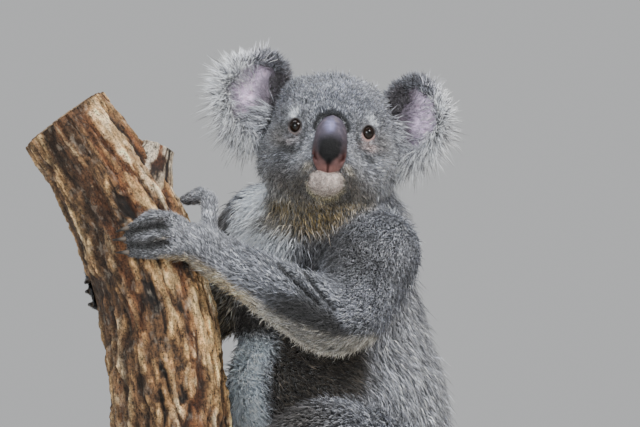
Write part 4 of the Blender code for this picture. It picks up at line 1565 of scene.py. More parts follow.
    def put(self, name: str, slot: str = "fur_grey") -> None:
        """Makes the tufts one piece.

        Around the middle three points stand at 90, 210 and 330 degrees, at the tuft's width to the
        sides and 0.6 of it up and down. Six triangles join them to the root and to the tip, and are
        unrolled side by side in a patch on the bake map.
        """
        count = len(self.roots)
        points = np.empty((count, 5, 3))
        points[:, 0], points[:, 4] = self.roots, self.tips
        for k in range(3):
            turn = math.radians(90.0 + 120.0 * k)
            ring = math.cos(turn) * self.side + 0.6 * math.sin(turn) * self.lift
            points[:, k + 1] = self.middles + ring * self.width[:, None]
        edges = [(1 + k, 1 + (k + 1) % 3) for k in range(3)]
        one = [(0, after, here) for here, after in edges] + [(4, here, after) for here, after in edges]
        corners = np.arange(count)[:, None, None] * 5 + np.array(one)[None]
        mesh = make_mesh(name, points.reshape(-1, 3), corners.reshape(-1, 3), 3)
        tone = np.empty((count, 5, 3))
        tone[:, 0], tone[:, 1:4], tone[:, 4] = self.tone[0], self.tone[1][:, None], self.tone[2]
        tone_mesh(mesh, tone.reshape(-1, 3))
        step = PATCH / 3.0
        bands = [((k - 1.5) * step, (k - 0.5) * step) for k in range(3)]
        cells = [[(-PATCH / 2, (low + high) / 2), (0.0, high), (0.0, low)] for low, high in bands]
        cells += [[(PATCH / 2, (low + high) / 2), (0.0, low), (0.0, high)] for low, high in bands]
        spots = self.patch[:, None, None, :] + np.array(cells)[None]
        layer = mesh.uv_layers.new(name="OFBake")
        layer.uv.foreach_set("vector", np.ascontiguousarray(spots.reshape(-1), np.float32))
        put(name, mesh, CoatFinish("koala_coat"), slot)


MAIN_LINES = ("torso", "head", "arm_left", "arm_right", "leg_left", "leg_right")


def unwrap(lie: Lie) -> Array:
    """Each root's place on an unwrap of the skin.

    The part of the body that the point belongs to is unrolled round its own line: the turn round
    the line gives the first coordinate and the way along it, past its ends too, the second.

    Args:
        lie: Where the roots are.

    Returns:
        Two numbers from 0 to 1 for each root.
    """
    points = lie.points
    owner = np.stack([lie.share[name] for name in MAIN_LINES]).argmax(0)
    spot = np.zeros((len(points), 2))
    lines = {line.name: line for line in body_lines()}
    for number, name in enumerate(MAIN_LINES):
        mine = owner == number
        if not mine.any():
            continue
        knots = lines[name].points()
        axis = unit(knots[-1] - knots[0])
        first = unit(np.cross(axis, [0.31, 0.22, 0.93]))
        second = np.cross(axis, first)
        offset = points[mine] - knots.mean(0)
        turn = np.arctan2(offset @ second, offset @ first) / (2.0 * np.pi) + 0.5
        run = offset @ axis
        run = (run - run.min()) / max(np.ptp(run), 1e-6)
        spot[mine] = np.stack([turn, run], -1)
    return PATCH + spot * (1.0 - 2.0 * PATCH)


# ----
# Nose, eyes, ears and claws


@dataclass
class Nose:
    """The long leathery nose pad with its nostrils."""

    rows: int = 112
    columns: int = 100
    top: float = 0.0132
    bottom: float = -0.0425
    LENGTH = 0.0557
    RUNS = (0.0, 0.1, 0.2, 0.3, 0.42, 0.55, 0.68, 0.8, 0.9, 1.0)
    FRONT = (-61.5, -68.0, -72.5, -77.0, -81.0, -84.3, -85.5, -84.0, -80.5, -73.0)  # mm, along the middle
    EDGE = (-58.5, -60.0, -61.5, -64.0, -67.0, -69.5, -71.0, -71.5, -71.0, -69.5)  # mm, along the sides

    @staticmethod
    def half_width(run: Array) -> Array:
        """Half the pad's width from its top (0) to its lip (1): a broad arch that narrows to the lip."""
        knots = np.array([0.0, 0.012, 0.04, 0.1, 0.18, 0.28, 0.42, 0.6, 0.74, 0.86, 0.95, 1.0])
        widths = np.array([0.3, 4.2, 7.2, 10.0, 12.4, 14.2, 15.2, 15.8, 15.6, 13.6, 9.6, 0.3])
        return np.interp(run, knots, widths) * MM

    @staticmethod
    def comma(z: Array) -> Array:
        """How far out the middle of a nostril's curve lies at a height."""
        return 0.0133 - 0.0034 * ease(-z, 0.0275, 0.0345)

    @staticmethod
    def run(head: Array) -> Array:
        """How far down the pad places lie, from its top (0) to its lip (1)."""
        return (Nose.top - head[:, 2]) / Nose.LENGTH

    @staticmethod
    def covers(head: Array) -> Array:
        """True for points of the head's frame that lie behind the pad."""
        run = Nose.run(head)
        return (run > 0.0) & (run < 1.0) & (np.abs(head[:, 0]) < Nose.half_width(run) - 0.0012)

    @staticmethod
    def hold_back(head: Array) -> Array:
        """Points of the head's frame with those that lie over the pad moved back behind its edge."""
        run = Nose.run(head)
        limit = np.interp(run, Nose.RUNS, Nose.EDGE) * MM + 0.0012
        inside = ease(Nose.half_width(run) - np.abs(head[:, 0]), -0.0006, 0.0012) * (head[:, 1] < -0.04)
        inside = inside * (run > -0.01) * (run < 1.01)
        y = head[:, 1] + np.maximum(limit - head[:, 1], 0.0) * inside
        return np.column_stack([head[:, 0], y, head[:, 2]])

    def build(self) -> None:
        """Carries a flattened oval down the pad, with a front that bulges and two nostrils.

        The front stands at an arc whose height follows the profile, falls away to the sides as
        1 - |s|^2.6, and dents by bells along each nostril's comma and down the lip's groove.
        """
        run = (1.0 - np.cos(np.linspace(0.02, 1.0, self.rows) * np.pi * 0.995)) / 2.0
        half = self.half_width(run)
        half = np.convolve(np.pad(half, 2, mode="edge"), np.ones(5) / 5.0, "valid")
        z = self.top + (self.bottom - self.top) * run
        profile = np.interp(run, self.RUNS, self.FRONT) * MM
        profile = np.convolve(np.pad(profile, 6, mode="edge"), np.ones(13) / 13.0, "valid")
        back = np.interp(run, [0.0, 0.3, 0.7, 1.0], [-52.0, -55.0, -58.0, -60.0]) * MM
        turn = ring_turns(self.columns)
        s = np.cos(turn)[None, :]
        x = half[:, None] * np.sign(s) * np.abs(s) ** 0.92
        edge = np.interp(run, self.RUNS, self.EDGE)[:, None] * MM
        bulge = 1.0 - np.abs(s) ** 2.6
        ahead = edge + (profile[:, None] - edge) * bulge
        behind = edge + (back[:, None] - edge) * bulge
        y = np.where(np.sin(turn)[None, :] < 0.0, ahead, behind)
        z = np.broadcast_to(z[:, None], x.shape).copy()
        front = np.sin(turn)[None, :] < 0.05
        sides = np.abs(x)
        comma = Nose.comma(z)
        hole = bump(sides - comma, 0.0019) * bump(z + 0.0282, 0.006)
        wing = bump(sides - 0.01, 0.0034) * bump(z + 0.0225, 0.006)
        groove = bump(x, 0.001) * ease(-z, 0.03, 0.036)
        lobe = bump(sides - 0.0058, 0.0038) * bump(z + 0.0365, 0.0046)
        y = y + front * (0.0055 * hole - 0.0014 * wing + 0.0022 * groove - 0.0014 * lobe)
        local = np.stack([x, y, z], -1)
        mesh = closed_tube("nose_pad", to_world(local, HEAD))
        points, _ = read_mesh(mesh)
        tone_mesh(mesh, self.colours(to_local(points, HEAD)))
        put("nose_pad", mesh, NoseFinish("nose_leather_skin"), "nose_leather", "nose")

    @staticmethod
    def colours(head: Array) -> Array:
        """Purple grey above with a painted highlight, near black below, flesh red at the nostrils with
        painted shade in their dents, and pink at the lip.
        """
        x, _, z = head.T
        side = np.abs(x)
        tone = np.tile((0.09, 0.078, 0.104), (len(x), 1))
        # Painted highlight: a pale lilac spot high on the pad.
        tone = mix(tone, (0.23, 0.225, 0.4), 0.9 * blot(x, z, (-0.0016, 0.001), (0.0046, 0.0072)))
        tone = mix(tone, (0.08, 0.064, 0.078), 0.9 * ease(side, 0.008, 0.0135))
        patchy = lattice_noise(head, 0.0034, 53)
        tone = mix(tone, (0.2, 0.165, 0.18), 0.34 * ease(patchy, 0.0, 0.6))
        tone = mix(tone, (0.046, 0.04, 0.05), 0.34 * ease(-patchy, 0.0, 0.6))
        depth = -z - 0.3 * side + 0.0013 * patchy
        dark = ease(depth, -0.001, 0.015) * (1.0 - 0.5 * ease(side + 0.001 * patchy, 0.0075, 0.0145))
        tone = mix(tone, (0.005, 0.005, 0.005), 0.98 * dark)
        tone = mix(tone, (0.062, 0.042, 0.044), 0.8 * ease(-z, 0.012, 0.022) * ease(side, 0.0105, 0.0145))
        drops = [0.0, 0.0225, 0.0265, 0.0315, 0.0355, 0.0385]
        edge = np.interp(-z, drops, [0.03, 0.0172, 0.0122, 0.0075, 0.0036, 0.0006])
        edge = edge + 0.0009 * lattice_noise(head, 0.0032, 37)
        tone = mix(tone, (0.15, 0.08, 0.076), 0.93 * ease(side - edge, -0.004, 0.0036))
        comma = Nose.comma(z)
        # Painted shade in the nostrils' dents.
        tone = mix(tone, (0.03, 0.008, 0.007), bump(side - comma, 0.0018) * bump(z + 0.0282, 0.0056))
        tone = mix(tone, (0.24, 0.12, 0.108), ease(-z, 0.0355, 0.0405) * (1.0 - 0.75 * bump(x, 0.0012)))
        tone = mix(tone, (0.05, 0.018, 0.015), bump(x, 0.0009) * ease(-z, 0.033, 0.038) * 0.85)
        return tone


@dataclass
class Eye:
    """An eyeball with its pupil, and the bare rim of lids round it."""

    side: float
    name: str
    open_wide: float = 0.0044
    open_high: float = 0.0061
    lashes_count: int = 1500

    def build(self) -> None:
        """Makes the ball and its lids."""
        self.ball()
        self.lids()

    def axes(self) -> Tuple[Array, Array, Array, Array]:
        """The eye's centre and its forward, outward and upward directions in the head's frame."""
        forward = eye_axis(self.side)
        outward = unit(np.cross(forward, [0.0, 0.0, 1.0])) * -self.side
        outward = outward * np.sign(outward[0] * self.side)
        upward = unit(np.array([0.0, 0.0, 1.0]) - forward[2] * forward)
        return eye_centre(self.side), forward, outward, upward

    def ball(self) -> None:
        """A sphere by rings round the looking axis, with a slight swell at the cornea."""
        centre, forward, outward, upward = self.axes()
        polar = np.linspace(0.012, np.pi - 0.012, 50)
        turn = ring_turns(60)
        radius = EYE_RADIUS + 0.0005 * bump(polar, 0.55)
        rim = np.sin(polar)[:, None, None] * (
            np.cos(turn)[None, :, None] * outward + np.sin(turn)[None, :, None] * upward
        )
        local = centre + radius[:, None, None] * (rim + np.cos(polar)[:, None, None] * forward)
        mesh = closed_tube(self.name, to_world(local, HEAD), flip=self.side < 0)
        points, _ = read_mesh(mesh)
        offset = to_local(points, HEAD) - centre
        across, up = offset @ outward, offset @ upward
        off_axis = np.hypot(across, up)
        tone = np.tile((0.005, 0.003, 0.0022), (len(points), 1))
        tone = mix(tone, (0.016, 0.0075, 0.004), bump(off_axis - 0.0042, 0.001) * 0.8)
        tone = mix(tone, (0.002, 0.002, 0.002), fade(np.hypot(across / 0.45, up / 1.25), 0.0024, 0.003))
        tone = mix(tone, (0.01, 0.007, 0.006), ease(off_axis, 0.0056, 0.0064))
        tone_mesh(mesh, tone)
        put(self.name + "_ball", mesh, EyeFinish("wet_eye"), "eye", self.name)

    def lids(self) -> None:
        """A soft ring of skin round the opening.

        Round the opening's oval, the section runs from a bead at the rim outwards and back to the
        face, and returns underneath.
        """
        centre, forward, outward, upward = self.axes()
        turn = ring_turns(120)[:, None]
        wide = self.open_wide * (1.0 + 0.1 * np.cos(turn) ** 2)
        high = self.open_high * (1.0 - 0.06 * (np.sin(turn) < 0))
        rim = 1.0 / np.sqrt((np.cos(turn) / wide) ** 2 + (np.sin(turn) / high) ** 2)
        section = np.array(
            [(0.0, -0.0006), (-0.0002, 0.0002), (0.0003, 0.0009), (0.0011, 0.0011), (0.0021, 0.0008),
             (0.0034, 0.0002), (0.0048, -0.001), (0.0058, -0.0026), (0.0046, -0.003), (0.0026, -0.0026),
             (0.001, -0.0018)]
        )
        out = rim + section[None, :, 0]
        surface = ball_height(rim)
        lower = 0.0006 * bump((np.sin(turn) + 0.9), 0.55) * bump(section[None, :, 0] - 0.0024, 0.0014)
        fall = LID_FALL * np.maximum(np.cos(turn), 0.0) * section[None, :, 0]
        fore = surface + section[None, :, 1] + lower - fall
        direction = np.cos(turn)[:, :, None] * outward + np.sin(turn)[:, :, None] * upward
        local = centre + out[:, :, None] * direction + fore[:, :, None] * forward
        rows, columns = out.shape
        points = to_world(local.reshape(-1, 3), HEAD)
        r, c = np.arange(rows)[:, None], np.arange(columns)[None, :]
        quads = np.stack(
            [r * columns + c, r * columns + (c + 1) % columns,
             (r + 1) % rows * columns + (c + 1) % columns, (r + 1) % rows * columns + c], -1,
        ).reshape(-1, 4)
        mesh = make_mesh(self.name + "_lids", points, quads[:, ::-1] if self.side > 0 else quads, 4)
        height = np.broadcast_to(np.sin(turn), out.shape).ravel()
        reach = np.broadcast_to(section[None, :, 0], out.shape).ravel()
        tone = np.tile((0.034, 0.028, 0.029), (len(points), 1))
        below = (0.26, 0.165, 0.15) if self.side > 0 else (0.1, 0.08, 0.078)
        tone = mix(tone, below, ease(-height, -0.05, 0.5) * ease(reach, 0.0004, 0.0012))
        tone = mix(tone, (0.2, 0.2, 0.21), ease(height, 0.2, 0.8) * ease(reach, 0.0012, 0.0026))
        tone = mix(tone, (0.01, 0.008, 0.008), fade(reach, 0.0003, 0.0009))
        tone_mesh(mesh, tone)
        put(self.name + "_lids", mesh, SkinFinish("lid_skin", 0.25), "fur_grey")
        self.lashes(rim[:, 0], section)

    def lashes(self, rim: Array, section: Array) -> None:
        """Short hair on the lids, lying outwards from the opening.

        Roots are spread by chance over the turn round the eye and the outer part of the section.
        """
        centre, forward, outward, upward = self.axes()
        rng = np.random.default_rng(5)
        count = self.lashes_count
        turn = rng.uniform(0.0, 2.0 * np.pi, count)
        reach = rng.uniform(0.0012, 0.0056, count)
        angles = np.linspace(0.0, 2.0 * np.pi, len(rim) + 1)
        edge = np.interp(turn, angles, np.append(rim, rim[0]))
        rise = np.interp(reach, section[3:8, 0], section[3:8, 1]) + ball_height(edge)
        rise -= LID_FALL * np.maximum(np.cos(turn), 0.0) * reach
        direction = np.cos(turn)[:, None] * outward + np.sin(turn)[:, None] * upward
        roots = centre + (edge + reach)[:, None] * direction + (rise - 0.0002)[:, None] * forward
        slope = np.interp(reach, [0.0012, 0.0034, 0.0056], [-0.1, -0.5, -0.9])
        normals = unit(forward - 0.4 * slope[:, None] * direction)
        flow = unit(direction + slope[:, None] * forward * 0.7 + 0.25 * rng.standard_normal((count, 3)))
        lie = Lie(to_world(roots, HEAD), normals @ HEAD[:3, :3].T)
        hair = np.tile([0.0, 0.0034, 0.00021, 20.0, 0.0008], (count, 1))
        tufts = Tufts.styled(lie, flow @ HEAD[:3, :3].T, hair, rng, 0.004, 0.0)
        tufts.put(f"coat_{self.name}_lids")


@dataclass
class Ear:
    """A round cupped ear: bare pinkish inside, furred back and rim, long pale fringe outside."""

    side: float
    name: str
    place: Spot
    turns: Spot
    wide: float = 0.029
    high: float = 0.037
    cup: float = 0.013
    thick: float = 0.0032
    rows: int = 44  # rings on each face
    columns: int = 80
    seed: int = 3

    def matrix(self) -> Array:
        """The ear's frame: its face looks along -y."""
        made = Matrix.Identity(4)
        for angle, axis in zip(self.turns, "XYZ"):
            made = Matrix.Rotation(math.radians(angle), 4, axis) @ made
        return HEAD @ np.array(Matrix.Translation(self.place) @ made)

    def surface(self, reach: Array, turn: Array, back: Array) -> Array:
        """A point of the ear: a dish whose depth grows as reach^2, with a rim folded forwards.

        Args:
            reach: 0 in the middle, 1 at the rim.
            turn: The angle round it from the outer side.
            back: 0 on the front face, 1 on the back.

        Returns:
            Places in the ear's frame.
        """
        lobe = 1.0 + 0.05 * np.cos(3.0 * turn + 0.6) + 0.04 * np.sin(2.0 * turn)
        x = self.side * self.wide * reach * lobe * np.cos(turn)
        z = self.high * reach * lobe * np.sin(turn)
        fold = 0.0035 * ease(reach, 0.8, 1.0) * (0.4 + 0.6 * ease(-np.cos(turn), -0.5, 0.8))
        flesh = self.thick * (back - 0.5) * np.sqrt(np.maximum(1.0 - reach**6, 0.0))
        return np.stack([x, self.cup * (0.62 - reach**2) - fold + flesh, z], -1)

    def build(self, node: str) -> None:
        """Makes the flap and its hair."""
        rows, columns = self.rows, self.columns
        reach = np.sin(np.linspace(0.03, 1.0, rows) * np.pi / 2)
        reach = np.concatenate([reach, reach[::-1]])
        back = np.concatenate([np.zeros(rows), np.ones(rows)])
        turn = ring_turns(columns)
        local = self.surface(reach[:, None], turn[None, :], back[:, None])
        ridge = lattice_noise(local.reshape(-1, 3), 0.008, 9).reshape(local.shape[:2])
        local[..., 1] += 0.0007 * ridge
        mesh = closed_tube(self.name, to_world(local, self.matrix()), flip=self.side > 0)
        points, _ = read_mesh(mesh)
        place = to_local(points, self.matrix())
        inside = np.concatenate([np.repeat(1.0 - back, columns), [1.0, 0.0]])
        out = place[:, 0] * self.side / self.wide
        tone = np.tile((0.085, 0.075, 0.08), (len(points), 1))
        cloud = lattice_noise(points, 0.006, 13)
        tone = mix(tone, (0.42, 0.35, 0.46), inside * 0.97)
        # Painted light: a pale pool in the upper middle of the inside.
        tone = mix(tone, (0.95, 0.76, 1.0), np.clip(1.2 * inside * self.light_pool(place), 0.0, 1.0))
        tone = mix(tone, (0.62, 0.36, 0.46), inside * ease(cloud, 0.1, 0.8) * 0.45)
        # Painted shade: the inside darkens towards its inner edge by the head.
        tone = mix(tone, (0.2, 0.17, 0.2), inside * ease(-out, -0.2, 0.35) * 0.85)
        tone = mix(tone, (0.075, 0.045, 0.045), inside * ease(-out, 0.3, 0.75))
        tone_mesh(mesh, tone)
        put(self.name, mesh, SkinFinish("ear_skin", 0.35), "fur_pale", node)
        self.fur()

    def fur(self) -> None:
        """Grows the back's fur, the rim's fur, the inner down, the long fringe and the veil below."""
        rng = np.random.default_rng(self.seed)
        grey, soot = (0.19, 0.195, 0.225), (0.105, 0.095, 0.105)
        down, veil = (0.95, 0.82, 1.0), (0.6, 0.61, 0.67)
        made = [self.strands(rng, strand) for strand in (
            Strand(4300, (0.05, 1.0), (-180, 180), 1.0, 0.0105, 0.00048, 34, 0.1, (0.16, 0.16, 0.18), 0.28),
            Strand(2700, (0.93, 1.02), (-180, 180), 0.7, 0.0115, 0.00038, 27, 0.1, grey, 0.36),
            Strand(3100, (0.1, 0.96), (-180, 180), 0.0, 0.01, 0.00024, 24, 0.1, down, 0.0, 1.5, lit=True),
            Strand(1500, (0.5, 1.0), (118, 240), 0.0, 0.011, 0.00044, 52, 0.0, soot, 0.4),
            Strand(900, (0.8, 1.02), (55, 120), 0.3, 0.015, 0.00038, 34, 0.1, grey, 0.36),
            Strand(3500, (0.82, 1.02), (-100, 58), 0.3, 0.037, 0.00031, 28, 0.3, (0.86, 0.87, 0.92), 0.32),
            Strand(1600, (0.7, 1.02), (-140, -55), 0.3, 0.029, 0.0004, 42, 0.5, (0.52, 0.53, 0.58), 0.42),
            Strand(1250, (0.62, 0.99), (192, 270), 0.0, 0.034, 0.0003, 32, 0.25, veil, 0.4, -2.6),
            Strand(800, (0.35, 0.88), (-75, 85), 0.0, 0.027, 0.00026, 20, 0.15, (0.8, 0.79, 0.9), 0.0, 1.5),
        )]
        Tufts.joined(made).put(f"coat_{self.name}", "fur_pale")

    def strands(self, rng: Rng, strand: "Strand") -> Tufts:
        """One kind of the ear's hair.

        Roots are spread evenly over the band of reach and turn. Each hair leaves along the way out
        from the ear's middle, swept outwards and lifted off the surface, and its outer half sinks
        by the droop.
        """
        count, length, inside = strand.count, strand.length, strand.back == 0.0
        r = np.sqrt(rng.uniform(strand.reach[0] ** 2, strand.reach[1] ** 2, count))
        turn = np.radians(rng.uniform(*strand.span, count))
        layer = np.where(strand.back == 0.7, rng.random(count) < 0.7, strand.back) * 1.0
        root = self.surface(np.minimum(r, 0.995), turn, layer)
        outer = self.surface(np.minimum(r, 0.995) + 0.02, turn, layer)
        near = 1.0 - ease(r, 0.2, 0.9) * (strand.sweep > 0.0)
        sweep = np.array([self.side, 0.0, 0.15]) * (abs(strand.sweep) * near)[:, None]
        away = unit(unit(outer - root) * (0.2 + r)[:, None] + sweep)
        facing = np.where(layer[:, None] > 0.5, np.array([[0.0, 1.0, 0.0]]), np.array([[0.0, -1.0, 0.0]]))
        facing = flatten(facing, away)
        angle = np.radians(strand.lift * rng.uniform(0.45, 1.25, count))[:, None]
        if length > 0.02:
            angle = angle * (1.0 - 0.75 * ease(r, 0.5, 1.0))[:, None]
        sway = 0.22 * rng.standard_normal((count, 3)) + 0.25 * noise_rows(root, 0.01, 31)
        way = unit(np.cos(angle) * away + np.sin(angle) * facing + sway)
        size = length * rng.uniform(0.6, 1.15, count)[:, None]
        if length > 0.03 and not inside:
            size = size * (1.0 - 0.6 * ease(turn, math.radians(5.0), math.radians(58.0)))[:, None]
        middle = root + way * size * 0.5 + np.array([0.0, 0.0, -1.0]) * strand.droop * size * 0.06
        tip = root + way * size + np.array([0.0, 0.0, -1.0]) * strand.droop * size * 0.38
        pull, _, _ = gathered(tip, np.floor(tip / (0.009 if length > 0.02 else 0.006)).astype(np.int64) + 64)
        tip = tip + pull * (0.6 if length > 0.02 else 0.3)
        tone = np.tile(strand.colour, (count, 1)) * np.exp(rng.normal(0.0, 0.24, count))[:, None]
        tone = mix(tone, (0.045, 0.04, 0.042), 0.9 * (rng.random(count) < strand.dark))
        if strand.lit:
            # The inner down takes the painted light pool and the painted shade towards the inner edge.
            tone *= (0.4 + 0.6 * self.light_pool(root))[:, None]
            tone *= (1.0 - 0.72 * ease(-r * np.cos(turn), -0.2, 0.5))[:, None]
        side = unit(np.cross(tip - root, rng.standard_normal((count, 3))))
        spot = np.stack([0.5 + 0.4 * r * np.cos(turn), 0.5 + 0.4 * r * np.sin(turn)], -1)
        matrix = self.matrix()
        root, middle, tip = (to_world(part, matrix) for part in (root, middle, tip))
        side = side @ matrix[:3, :3].T
        upward, width = unit(np.cross(side, tip - root)), strand.width * rng.uniform(0.8, 1.2, count)
        # Roots darker as painted shade.
        tones = np.stack([tone * (0.8 if strand.lit else 0.5), tone * 0.95, tone * 1.15])
        return Tufts(root, middle, tip, side, upward, width, tones, spot)

    def light_pool(self, place: Array) -> Array:
        """1 at the painted pool of light in the upper middle of the ear's inside, falling to 0."""
        return blot(place[:, 0] * self.side, place[:, 2], (0.004, 0.009), (0.018, 0.024))


@dataclass(frozen=True)
class Strand:
    """One kind of the ear's hair.

    Sweep draws the hair outwards, above 0 only near the ear's middle and below 0 everywhere.
    """

    count: int
    reach: Pair
    span: Pair
    back: float  # 0 on the face, 1 on the back, and 0.7 for seven in ten on the back
    length: float
    width: float
    lift: float
    droop: float
    colour: Colour
    dark: float  # the share of dark hairs
    sweep: float = 0.0
    # lit: True takes the skin's painted light and painted shade below.
    lit: bool = False  # True takes the brightness of the skin below


@dataclass
class Claws:
    """The horn claws, each laid along its solid."""

    thick: float = 0.0022
    rows: int = 22
    columns: int = 16

    def build(self) -> None:
        """Makes every claw."""
        for name in sorted(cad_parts):
            if "_claw_" in name:
                self.claw(name)

    def claw(self, name: str) -> None:
        """A bent cone from the solid's thick end to its point.

        The middle line is the parabola between the two ends that bows away from the trunk, and the
        radius falls as (1 - t)^0.7, narrower from side to side than from top to bottom.
        """
        points, _ = read_mesh(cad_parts[name].data)
        middle = points.mean(0)
        _, _, axes = np.linalg.svd(points - middle, full_matrices=False)
        along = axes[0]
        run = (points - middle) @ along
        spread = [np.linalg.norm((points - middle - run[:, None] * along)[part], axis=1).mean()
                  for part in (run < np.percentile(run, 30), run > np.percentile(run, 70))]
        if spread[0] < spread[1]:
            along, run = -along, -run
        start, end = points[run < run.min() + 0.0006].mean(0), points[np.argmax(run)]
        start = start - along * 0.0015
        out = unit(np.array([*(middle[:2] - trunk_at(middle[2])[:2]), 0.0]))
        t = np.linspace(0.0, 1.0, self.rows)
        path = start + (end - start) * t[:, None] + out * (0.0076 * t * (1.0 - t))[:, None]
        radii = self.thick * (1.0 - t) ** 0.7 + 0.00012
        rings = tube_points(path, radii, self.columns, across=tuple(out))
        mesh = closed_tube(name + "_horn", rings)
        tone = np.tile((0.092, 0.074, 0.06), (self.rows * self.columns + 2, 1))
        level = np.concatenate([np.repeat(t, self.columns), [0.0, 1.0]])
        tone = mix(tone, (0.012, 0.01, 0.009), ease(level, 0.1, 0.62))
        tone_mesh(mesh, tone)
        put(name + "_horn", mesh, HornFinish("claw_horn"), "claw", name)


# ----
# Trunk, stand, floor, light and camera

AT_ONCE = 20000  # points compared with the trunk's middle line in one go


@dataclass
class Perch:
    """The cut length of trunk with its furrowed bark, sawn ends and the stub of a branch."""

    rows: int = 330
    columns: int = 210
    relief: float = 0.0074

    def build(self) -> None:
        """Makes the trunk and the stub."""
        self.trunk()
        self.stub()

    @staticmethod
    def furrows(turn: Array, run: Array, round_size: float, seed: int) -> Array:
        """Bark's height from about -1 to 1: stringy plates split by long furrows.

        Noise is read on a cylinder and stretched along the grain. Narrow bells where a coarse and a
        finer layer cross zero are the furrows, soft steps of a third layer are plates that have
        flaked off to different depths, and a fine layer gives the strings.
        """
        circle = np.stack([np.cos(turn) * round_size, np.sin(turn) * round_size], -1)
        warp = noise_rows(np.column_stack([circle, run * 0.6]), 0.02, seed + 9, 2)
        circle = circle + warp * 0.006

        def layer(cell: float, stretch: float, number: int) -> Array:
            """Noise with cells stretched along the grain."""
            return lattice_noise(np.column_stack([circle, run / stretch]), cell, seed + number)

        deep = bump(layer(0.012, 8.0, 1), 0.13)
        fine = bump(layer(0.0054, 7.0, 2), 0.18)
        plate = layer(0.0088, 6.5, 3) + 0.6 * layer(0.0042, 3.4, 4)
        steps = ease(plate, -0.42, -0.34) + ease(plate, -0.02, 0.06) + ease(plate, 0.36, 0.44)
        height = 0.36 * steps - 0.3 - 0.85 * deep - 0.42 * fine
        return height + 0.3 * layer(0.0032, 5.5, 5) + 0.26 * layer(0.003, 1.2, 6)

    def trunk(self) -> None:
        """The stem: rings along its line, pushed in and out by the bark's height, with flat sawn ends."""
        path = smooth_path(TRUNK_KNOTS, self.rows)
        length = np.concatenate([[0.0], np.cumsum(np.linalg.norm(np.diff(path[:, :3], axis=0), axis=1))])
        rings = tube_points(path[:, :3], path[:, 3], self.columns, across=(0.0, 1.0, 0.0))
        turn = np.tile(ring_turns(self.columns), self.rows)
        run = np.repeat(length, self.columns)
        height = self.furrows(turn, run, 0.052, 2)
        height = np.clip(height, -1.15, 0.9)
        away = unit(rings - path[:, None, :3])
        swell = 0.0025 * lattice_noise(rings.reshape(-1, 3), 0.06, 4)
        move = (self.relief * (height * 0.5 - 0.36) + swell * 0.6).reshape(self.rows, self.columns, 1)
        rings = rings + away * move
        caps = self.caps(rings, path)
        mesh = closed_tube("trunk_bark", caps)
        points, _ = read_mesh(mesh)
        edge = (len(caps) - self.rows) // 2 * self.columns
        bark = slice(edge, edge + self.rows * self.columns)
        face, level = np.ones(len(points)), np.zeros(len(points))
        face[bark], level[bark] = 0.0, height
        grain = self.grain(points, path[:, :3], length)
        tone = self.sawn_colours(self.bark_colours(points, level, grain), points, path, face)
        self.dress(mesh, tone, grain, "perch_trunk")

    @staticmethod
    def dress(mesh: bpy.types.Mesh, tone: Array, grain: Array, *nodes: str) -> None:
        """Colours a mesh, stores its places along the wood's grain and gives it its bark."""
        tone_mesh(mesh, tone)
        layer = mesh.attributes.new("grain", "FLOAT_VECTOR", "POINT")
        layer.data.foreach_set("vector", np.ascontiguousarray(grain, np.float32).ravel())
        put(mesh.name, mesh, BarkFinish("stringy_bark"), "bark", *nodes)

    def caps(self, rings: Array, path: Array) -> Array:
        """Adds rings that draw each end in to its middle, across a flat sawn face."""
        inward = np.array([1.0, 0.985, 0.9, 0.75, 0.6, 0.45, 0.3, 0.15, 0.04])
        ends = []
        for row, beside, shares in ((0, 1, inward[::-1]), (-1, -2, inward)):
            middle, out = path[row, :3], unit(path[row, :3] - path[beside, :3])
            edge = rings[row] - middle
            ends.append([middle + edge * share + out * (0.0012 * (share < 0.995)) for share in shares])
        return np.concatenate([ends[0], rings, ends[1]])

    @staticmethod
    def bark_colours(points: Array, height: Array, grain: Array) -> Array:
        """Dark brown in the furrows, deepened by painted shade, red brown between, tan and pale weathered
        strips, with painted sunlight on the right, painted shade on the left and painted light towards the
        top.

        Args:
            points: Places on the bark.
            height: The bark's height there, from about -1 to 1.
            grain: The same places along the grain.

        Returns:
            One colour a row.
        """

        def strip(cell: float, stretch: float, seed: int) -> Array:
            """Noise drawn out along the grain."""
            return lattice_noise(grain / np.array([1.0, 1.0, stretch]), cell, seed)

        tone = np.tile((0.15, 0.075, 0.032), (len(points), 1))
        # Near black in the furrows: darker bark, deepened by painted shade.
        tone = mix(tone, (0.01, 0.006, 0.0045), fade(height, -0.62, -0.05))
        tone = mix(tone, (0.38, 0.215, 0.088), ease(height, 0.0, 0.3))
        flecks = 0.2 + 0.8 * ease(strip(0.0034, 2.6, 64), -0.3, 0.35)
        tone = mix(tone, (0.66, 0.455, 0.225), ease(height, 0.3, 0.65) * flecks)
        patch = strip(0.0115, 8.5, 61) + 0.55 * strip(0.0046, 3.0, 62)
        weathered = ease(patch, 0.06, 0.5) * ease(height, -0.05, 0.4)
        # Painted sunlight: the pale weathered strips are stronger towards the right and top.
        sunny = 0.35 + 0.65 * ease(points[:, 0] + 0.3 * points[:, 2], 0.005, 0.05)
        tone = mix(tone, (0.84, 0.7, 0.5), 0.95 * weathered * flecks * sunny)
        rust = ease(strip(0.015, 8.0, 71), 0.0, 0.35)
        rust *= 0.45 + 0.55 * ease(strip(0.005, 2.5, 73), -0.35, 0.25)
        tone = mix(tone, (0.15, 0.05, 0.017), 0.66 * rust * (1.0 - weathered))
        # Painted shade on the left side of the trunk.
        shade = ease(-points[:, 0] - 0.2 * points[:, 2], 0.03, 0.075)
        tone = mix(tone, (0.046, 0.024, 0.012), 0.7 * shade * (1.0 - 0.6 * ease(height, 0.4, 0.8)))
